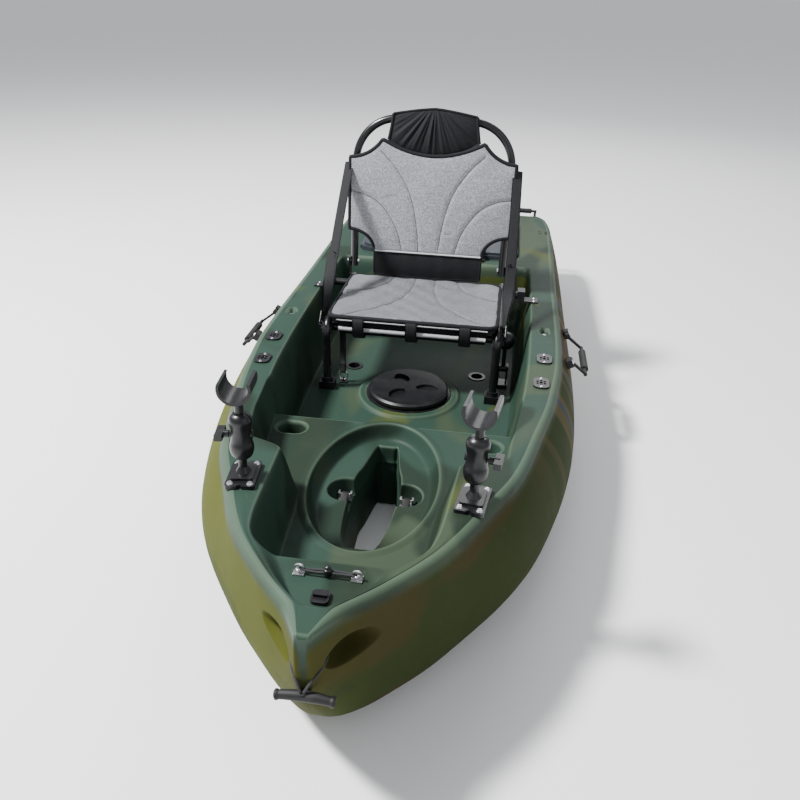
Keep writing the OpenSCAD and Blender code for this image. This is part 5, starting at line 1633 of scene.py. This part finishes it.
    def lumbar(self) -> None:
        """Black band under the back, slightly slack, with a hem and side cords."""
        s = np.linspace(-1, 1, 80)[None]
        t = np.linspace(0, 1, 26)[:, None]
        half = self.half - 79
        x = s * half * (1 + 0 * t)
        z = -29 + 71 * t - 4 * (1 - s**2) * (1 - t)
        slack = 4.5 * np.sin(t * math.pi) * (1 - 0.4 * s**2) + 0.9 * np.sin(s * 19 + t * 4) * np.sin(t * math.pi)
        front = np.stack([x, z, 23.5 + slack], axis=2)
        back = np.stack([x, z, np.broadcast_to(15.5, x.shape)], axis=2)[::-1]
        Piece("lumbar_cloth").grid(self.back(np.concatenate([front, back])), wrap_u=True, flip=True).done(
            "black_fabric", "seat_back", ["lumbar_band"], 0.3)
        hem = Piece("lumbar_hem")
        hem.tube(self.back(front[0] + np.array([0, 0, -3.0])), 4.0, 10)
        for column in (0, -1):
            hem.tube(self.back(front[:, column] + np.array([0, 0, -3.0])), 4.2, 10, up=(0, 1, 0))
        hem.done("black_fabric", "seat_back")

    def pan_panel(self) -> None:
        """Quilted pan with threads, a black rim and the band at its front."""
        outline = even(rounded_outline(457, 328, 26) + (0, 84), 240)
        seams = self.mirrored([
            [(30, 246), (35, 165), (58, 85), (108, 6), (172, -54), (204, -76)],
            [(96, 246), (112, 196), (150, 146), (196, 118), (227, 110)]])
        quilt = Quilt("seat_pan_mesh", outline, 13.0, seams, self.pan, 7.0, 1.3)
        quilt.build("pan_mesh", "hull", ["seat_pan"], 0.45)
        quilt.threads("pan_threads", "hull")
        rim = self.pan(np.column_stack([outline, np.zeros(len(outline))]))
        Piece("pan_binding").tube(rim, 6.2, 12, closed=True, flat=1.1).done("black_fabric", "hull")
        s = np.linspace(-1, 1, 90)[None]
        a = np.linspace(0, 1, 22)[:, None]
        y = -78 - 5 * np.sin(a * math.pi) + 12 * a
        z = 318 - 50 * a + 0.9 * np.sin(s * 23) * np.sin(a * math.pi)
        x = s * 206 * (1 - 0.03 * a)
        front = np.stack([x, y * np.ones_like(x), z], axis=2)
        back = (front + np.array([0, 6.0, 0]))[::-1]
        Piece("pan_front_band").grid(np.concatenate([front, back]), wrap_u=True, flip=False).done(
            "black_fabric", "hull", ["pan_front"], 0.3)
        trim = Piece("pan_piping")
        line = np.linspace(-205, 205, 80)
        trim.tube(np.column_stack([line, np.full(80, -83.5), np.full(80, 315.0)]), 2.6, 10)
        trim.tube(np.column_stack([line * 0.98, np.full(80, -79.5), np.full(80, 288.0)]), 4.6, 12, flat=1.3)
        trim.done("piping", "hull")
        loops = Piece("pan_loops")
        for x0 in (-145.0, 0.0, 145.0):
            path = np.array([(x0, -60, 324), (x0, -84, 322), (x0, -90, 305), (x0, -86, 280), (x0, -74, 262),
                             (x0, -54, 260), (x0, -42, 270), (x0, -42, 290)])
            loops.ribbon(curve(path, 50), 32, 2.2, (1, 0, 0))
        loops.done("webbing", "hull")

    def build(self) -> None:
        """Makes the whole seat."""
        self.back_panel()
        self.head()
        self.lumbar()
        self.pan_panel()


# ---------------------------------------------------------------- straps, cords and handles


@dataclass
class Straps:
    """Side straps of the seat with their doubled tails and buckles, and the hold strap."""

    top: tuple[float, float, float] = (247.0, 309.0, 652.0)
    low: tuple[float, float, float] = (248.5, -38.0, 312.0)

    def side(self, side: int) -> None:
        """One side strap, which bends with the back."""
        name = Side(side).letter
        a, b = np.array(self.low) * (side, 1, 1), np.array(self.top) * (side, 1, 1)
        t = np.linspace(0, 1, 90)[:, None]
        path = a + (b - a) * t
        path[:, 2] -= 7 * np.sin(t[:, 0] * math.pi)
        path[:, 0] += side * 3.5 * np.sin(t[:, 0] * math.pi)
        twist = smooth(0.0, 0.35, t[:, 0])[:, None]
        across = unit(np.array([side * 0.25, -0.1, 1.0]) * (1 - twist) + np.array([side * 1.0, 0.55, 0.15]) * twist)
        strap = Piece(f"side_strap_web_{name}").ribbon(path, 30, 2.2, across)
        web = strap.done("webbing", "", [f"side_strap_{name}"])
        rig.blend(web, "hull", "seat_back", (a * MM).tolist(), (b * MM).tolist())
        tail = Piece(f"side_strap_tail_{name}")
        rows = path[2:34]
        off = np.array([side * 2.8, -1.0, -1.5])
        tail.ribbon(rows + off, 30, 2.0, across[2:34])
        loop = curve([path[34] + off, path[35] + off * 1.6, path[33] + off * 2.2, path[26] + off * 2.4 + (0, 0, -6),
                      path[18] + off * 2.4 + (side * 2, -2, -24)], 30)
        tail.ribbon(loop, 28, 2.0, across[30])
        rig.blend(tail.done("webbing", ""), "hull", "seat_back", (a * MM).tolist(), (b * MM).tolist())

    def buckle(self, side: int) -> None:
        """Ladder-lock buckle at the strap's low end, and the web that ties it to the seat rail."""
        name = Side(side).letter
        centre = np.array([side * 248.5, -52.0, 299.0])
        way = unit(np.array([0.0, 0.715, 0.70]))
        across = unit(np.array([side * 0.25, -0.7, 0.7]))
        out = np.cross(way, across)
        piece = Piece(f"buckle_{name}")

        def bar(start: float, end: float, along_way: float, thick: float = 4.4) -> None:
            path = centre + way * along_way + across * np.linspace(start, end, 12)[:, None]
            piece.tube(path, thick / 2, 12, flat=1.0)

        for k in (-16.0, -4.0, 8.0, 16.0):
            bar(-19, 19, k)
        for k in (-19.0, 19.0):
            path = centre + across * k + way * np.linspace(-18, 18, 14)[:, None]
            piece.tube(path, 3.0, 12)
        piece.done("black_plastic", "hull", ["strap_buckles"] if side > 0 else [])
        tie = Piece(f"buckle_tie_{name}")
        rail = np.array([side * 233.5, -74.0, 288.0])
        wrap = [centre - way * 15, centre - way * 24 + out * 1.5, rail + (side * 13.5, 0, 3),
                rail + (side * 2, -13.5, -6), rail + (-side * 12, -6, -6), rail + (-side * 10, 11, 2),
                rail + (side * 10, 12, 8),
                centre - way * 20 - out * 3]
        tie.ribbon(curve(wrap, 60), 24, 2.0, unit(np.array([0.0, 0.35, 1.0])))
        tie.done("webbing", "hull")

    def hold(self) -> None:
        """Webbing from the front cross tube to a ring on the cockpit floor, with its anchor."""
        x, y, floor = -195.75, -48.0, 106.0
        web = Piece("hold_web")
        web.ribbon(np.array([(x, y, floor + 33), (x, y, floor + 80), (x, y + 0.5, floor + 120), (x, y, floor + 163)]),
                   17, 2.0, (1, 0, 0))
        over = [(x, y - 2.5, floor + 160), (x, y - 13.5, floor + 170), (x, y - 11, floor + 184), (x, y, floor + 188),
                (x, y + 11, floor + 184), (x, y + 13.5, floor + 170), (x, y + 2.5, floor + 158)]
        web.ribbon(curve(over, 40), 17, 2.0, (1, 0, 0))
        fold = [(x, y + 1.5, floor + 58), (x, y + 2.0, floor + 40), (x, y + 1, floor + 30), (x, y - 3, floor + 33),
                (x, y - 2, floor + 45), (x, y - 1.5, floor + 58)]
        web.ribbon(curve(fold, 40), 17, 2.0, (1, 0, 0))
        web.done("webbing", "hull", ["hold_strap"])
        metal = Piece("hold_ring")
        t = np.linspace(0, 2 * math.pi, 48, endpoint=False)
        ring = np.stack([x + 13 * np.cos(t), np.full(48, y), floor + 22 + 14 * np.sin(t)], axis=1)
        metal.tube(ring, 2.3, 12, closed=True)
        metal.done("screw_steel", "hull")
        base = Piece("hold_anchor")
        base.slab(rounded_outline(26, 20, 5) + (x, y), floor + 0.1, floor + 4.5, 1.5)
        arch = np.array([(x, y - 7, floor + 3), (x, y - 6, floor + 10), (x, y, floor + 12.5), (x, y + 6, floor + 10),
                         (x, y + 7, floor + 3)])
        base.tube(curve(arch, 30), 2.4, 12)
        base.done("black_plastic", "hull")

    def build(self) -> None:
        """Makes both sides."""
        for side in (-1, 1):
            self.side(side)
            self.buckle(side)
        self.hold()


@dataclass
class BowGear:
    """Bow cord with its grip, and the bungee across the tray."""

    y: float = -1215.0
    z: float = 231.0

    def toggle(self) -> None:
        """Curved grip with flat flared ends, and its eyelet ring."""
        s = np.linspace(-1, 1, 60)
        path = np.stack([3 + s * 44.5, self.y + 1.2 * (1 - s**2), self.z - 3.4 * s**2 + 1.2], axis=1)
        end = np.abs(s)
        radius = 7.8 + 1.4 * smooth(0.84, 0.90, end) - 0.9 * (end**2) + 0.35 * np.cos(s * 3)
        radius = radius * np.sqrt(np.clip(1 - ((end - 0.965).clip(0) / 0.05) ** 2, 0.2, 1))
        grip = Piece("bow_grip")
        grip.tube(path, radius, 28)
        grip.done("black_rubber", "bow_handle", ["bow_toggle"])
        collar = Piece("bow_grip_eyelet")
        t = np.linspace(0, 2 * math.pi, 30, endpoint=False)
        collar.tube(np.stack([5.0 * np.cos(t), self.y + 4.2 * np.sin(t), np.full(30, self.z + 9.0)], axis=1), 1.1, 10,
                    closed=True)
        collar.done("black_rubber", "bow_handle")

    def cord(self) -> None:
        """Cord from the grip's middle up both sides of the stem and through it."""
        half = [(3.0, self.y, self.z + 6.0), (-3.6, self.y, self.z + 13.0), (-9, self.y + 5, 252),
                (-16, self.y + 14, 259), (-23, self.y + 27, 265), (-26, self.y + 42, 267.5),
                (-22, -1163, 266.5), (-12, -1160.6, 265.3), (0, -1160.4, 265.05)]
        half[0] = (-1.2, self.y, self.z + 7.0)
        other = [(-x, y, z) for x, y, z in half[-2::-1]]
        path = curve(half + other, 150)
        piece = Piece("bow_cord_braid").tube(path, 2.3, 14).done("cord", "bow_handle", ["bow_cord"])
        length = float(np.linalg.norm(np.diff(path, axis=0), axis=1).sum()) * MM
        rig.cord(piece, (path[0] * MM).tolist(), length, 0.0046, "object", "medium", "hanging", (path * MM).tolist())
        log.info("bow cord: %.3f m", length)

    def bungee(self) -> None:
        """Double elastic cord between two hooked eyes, through a cord lock."""
        y, z, half = -1051.2, 317.0, 46.0
        length = 0.0
        for k, way in enumerate((-1, 1)):
            x = np.linspace(-half, half, 60)
            away = way * (2.1 + 1.6 * (1 - (np.abs(x) / half) ** 2) * (np.abs(x) > 9) * 0.4)
            path = np.stack([x, y + away, np.full(60, z) + 0.8 * np.sin(x * 0.09 + k)], axis=1)
            piece = Piece(f"bungee_strand_{k}").tube(path, 1.9, 12)
            made = piece.done("cord", "hull", ["bungee_cord"] if not k else [])
            length = float(np.linalg.norm(np.diff(path, axis=0), axis=1).sum()) * MM
            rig.cord(made, (path[0] * MM).tolist(), length, 0.0038, "object", "medium", "taut", (path * MM).tolist())
        log.info("bungee strands: %.3f m", length)
        hook = Piece("bungee_hooks")
        for side in (-1, 1):
            ring = [(side * 44, y + 3.6, z), (side * 47, y + 4.5, z), (side * 50.5, y, z), (side * 47, y - 4.5, z),
                    (side * 44, y - 3.6, z)]
            hook.tube(curve(ring, 40), 1.5, 10)
            stem = [(side * 50.5, y, z), (side * 53.5, y, z - 1), (side * 55, y, z - 5), (side * 54, y, z - 9)]
            hook.tube(curve(stem, 24), 1.9, 10)
        hook.done("screw_steel", "hull")
        lock = Piece("cord_lock_barrel")

        def placed(p: Array) -> Array:
            return p + np.array([0.0, y, z - 5.5])

        lock.lathe([(0.1, -1.0), (5.2, -1.0), (6.3, 0.2), (6.6, 2.0), (6.6, 9.0), (6.2, 10.6), (5.0, 11.4), (4.2, 11.5),
                    (4.2, 15.6), (3.6, 16.4), (0.1, 16.6)], placed, 32)
        lock.done("black_plastic", "cord_lock", ["cord_lock"])

    def build(self) -> None:
        """Makes the grip, its cord and the bungee."""
        self.toggle()
        self.cord()
        self.bungee()


@dataclass
class Pulls:
    """Ribbed rubber pulls that hold the drive down."""

    pivot: tuple[float, float, float] = (68.0, -614.0, 136.0)

    def build(self) -> None:
        """Makes both pulls."""
        for side, name in ((-1, "l"), (1, "r")):
            x0 = side * self.pivot[0]
            y = np.linspace(3.5, -33, 90)
            rib = 0.9 * np.maximum(np.sin(y * 2 * math.pi / 6.1), -0.2) * smooth(1.0, -3.0, y) * smooth(-33, -29, y)
            path = np.stack([np.full(90, x0), self.pivot[1] + y, self.pivot[2] + 0.6 - 0.05 * y], axis=1)
            s = np.linspace(0, 2 * math.pi, 28, endpoint=False)
            wide = 8.6 + 1.4 * smooth(-20, -30, y) - 2.5 * smooth(-30.5, -33, y)
            high = 3.4 + rib - 1.5 * smooth(-31, -33, y)
            edge = np.abs(np.cos(s)) ** 0.55 * np.sign(np.cos(s))
            tall = np.abs(np.sin(s)) ** 0.7 * np.sign(np.sin(s))
            ring = np.stack([np.broadcast_to(edge, (90, 28)) * wide[:, None], np.zeros((90, 28)),
                             tall[None] * high[:, None]], axis=2)
            Piece(f"drive_pull_{name}").grid(path[:, None] + ring, wrap_v=True, caps=True, flip=True).done(
                "black_rubber", f"pull_{name}", [f"pull_{name}"])


# ---------------------------------------------------------------- fittings


@dataclass
class RodHolder:
    """Double-socket arm of each rod holder, with its clamp bolt."""

    x: float = 211.5
    y: float = -828.0
    z: float = 313.25
    ball_z: float = 62.0
    arm: float = 56.0

    def place(self, side: int) -> Callable[[Array], Array]:
        """From the holder's own axes to the boat."""
        def moved(p: Array) -> Array:
            p = turned(p, "Z", side * 8.0)
            p = turned(p, "X", -4.12)
            return p + np.array([side * self.x, self.y, self.z])
        return moved

    def arm_piece(self, side: int) -> None:
        """Two clamp shells with a split between them, round sockets and a waist."""
        name = Side(side).letter
        low, high = self.ball_z, self.ball_z + self.arm
        middle = (low + high) / 2
        profile = np.array([(low - 19, 13.5), (low - 15, 18.0), (low - 8, 21.0), (low, 22.4), (low + 7, 22.0),
                            (low + 16, 19.8), (middle, 18.6), (high - 14, 19.4), (high - 6, 21.0), (high, 21.6),
                            (high + 5, 20.4), (high + 10, 17.5), (high + 13, 13.5)])
        z = np.linspace(profile[0, 0], profile[-1, 0], 44)
        r = along([(a, b) for a, b in profile], z)
        piece = Piece(f"rod_arm_shells_{name}")
        for half in (0, 1):
            t = np.linspace(0.0, math.pi, 26) + half * math.pi
            sign = 1 - 2 * half
            rows = []
            for height, radius in zip(z, r):
                x = radius * np.cos(t)
                y = np.maximum(np.abs(radius * 0.96 * np.sin(t)), 1.3) * sign
                inner_x = np.linspace(x[-1], x[0], 10)[1:-1] * 0.98
                ring = np.vstack([np.column_stack([x, y]), np.column_stack([inner_x, np.full(8, 1.3 * sign)])])
                rows.append(np.column_stack([ring, np.full(len(ring), height)]))
            piece.grid(self.place(side)(np.stack(rows)), wrap_v=True, caps=True)
        piece.done("black_plastic", f"rod_arm_{name}", [f"rod_arm_{name}"], crisp=50)
        bolt = Piece(f"rod_arm_bolt_{name}")
        t = np.linspace(-14.5, 14.5, 12)
        bolt.tube(self.place(side)(np.column_stack([np.zeros(12), t * 1.15, np.full(12, middle)])), 4.2, 20)
        bolt.done("screw_steel", f"rod_arm_{name}")

    def build(self) -> None:
        """Makes both arms."""
        for side in (-1, 1):
            self.arm_piece(side)


PARTS: tuple[type, ...] = (Hull, Seat, Straps, BowGear, Pulls, RodHolder)


# ---------------------------------------------------------------- studio and the rest


@dataclass
class Studio:
    """Camera, pale floor and soft lights."""

    spot: tuple[float, float, float] = (0.216, -1.889, 1.112)
    yaw: float = 7.57
    pitch: float = 29.47
    roll: float = 1.70
    lens: float = 33.08

    def camera(self) -> None:
        """Puts the camera bow on, above and slightly to the right."""
        y, p, r = (math.radians(a) for a in (self.yaw, self.pitch, self.roll))
        ahead = Vector((-math.sin(y) * math.cos(p), math.cos(y) * math.cos(p), -math.sin(p)))
        right = Vector((math.cos(y), math.sin(y), 0.0))
        up = right.cross(ahead)
        side = right * math.cos(r) + up * math.sin(r)
        top = up * math.cos(r) - right * math.sin(r)
        data = bpy.data.cameras.new("camera")
        data.sensor_width = 36.0
        data.lens = self.lens
        data.clip_start = 0.05
        camera = bpy.data.objects.new("camera", data)
        matrix = Matrix((side, top, -ahead)).transposed().to_4x4()
        matrix.translation = Vector(self.spot)
        camera.matrix_world = matrix
        bpy.context.scene.collection.objects.link(camera)
        bpy.context.scene.camera = camera

    def light(self, name: str, spot: Sequence[float], aim: Sequence[float], size: float, power: float) -> None:
        """Adds one square area light."""
        data = bpy.data.lights.new(name, "AREA")
        data.energy = power
        data.size = size
        lamp = bpy.data.objects.new(name, data)
        lamp.location = spot
        lamp.rotation_euler = (Vector(aim) - Vector(spot)).to_track_quat("-Z", "Y").to_euler()
        bpy.context.scene.collection.objects.link(lamp)

    def build(self) -> None:
        """Makes the camera, the floor, the sky and three lights."""
        self.camera()
        mesh = bpy.data.meshes.new("floor")
        s = 240.0
        mesh.from_pydata([(-s, -s, 0), (s, -s, 0), (s, s, 0), (-s, s, 0)], [], [(0, 1, 2, 3)])
        floor = bpy.data.objects.new("floor", mesh)
        bpy.context.scene.collection.objects.link(floor)
        paint = Paint("studio_floor")
        floor.data.materials.append(paint.surface(Base_Color=(0.86, 0.86, 0.86), Roughness=0.85))
        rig.stage(floor)
        world = bpy.data.worlds.new("studio")
        world.use_nodes = True
        world.node_tree.nodes["Background"].inputs[0].default_value = (0.93, 0.95, 1.0, 1.0)
        world.node_tree.nodes["Background"].inputs[1].default_value = 0.66
        bpy.context.scene.world = world
        self.light("key", (-2.9, -0.9, 4.4), (0, 0, 0.2), 0.7, 780)
        self.light("fill", (3.2, -2.6, 2.4), (0, 0, 0.3), 3.0, 25)
        self.light("back", (0.8, 3.8, 3.2), (0, 0.4, 0.3), 2.4, 70)


@dataclass
class Hardware:
    """CAD nodes that keep their shape and get their finish."""

    def build(self) -> None:
        """Gives every node that is still shown the material of its slot."""
        slots = {row["node"]: row["material_slot"] for row in frame["record"]["subparts"]}
        for name, node in frame["nodes"].items():
            node.data.materials.clear()
            node.data.materials.append(finish(slots.get(name, "black_plastic")))
            log.info("%s: %s", name, slots.get(name))


def main() -> None:
    """Builds the boat from the hull up, and writes its two boxes."""
    logging.basicConfig(level=logging.INFO, format="%(message)s")
    Studio().build()
    Hardware().build()
    for part in PARTS:
        part().build()
    box = [list(corner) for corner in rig.bounds()]
    sizes = {"cad": [[float(v) for v in c] for c in CAD_BOX], "visual": [[float(v) for v in c] for c in box]}
    with open("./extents.json", "w", encoding="utf-8") as out:
        json.dump(sizes, out)


if __name__ == "__main__":
    main()
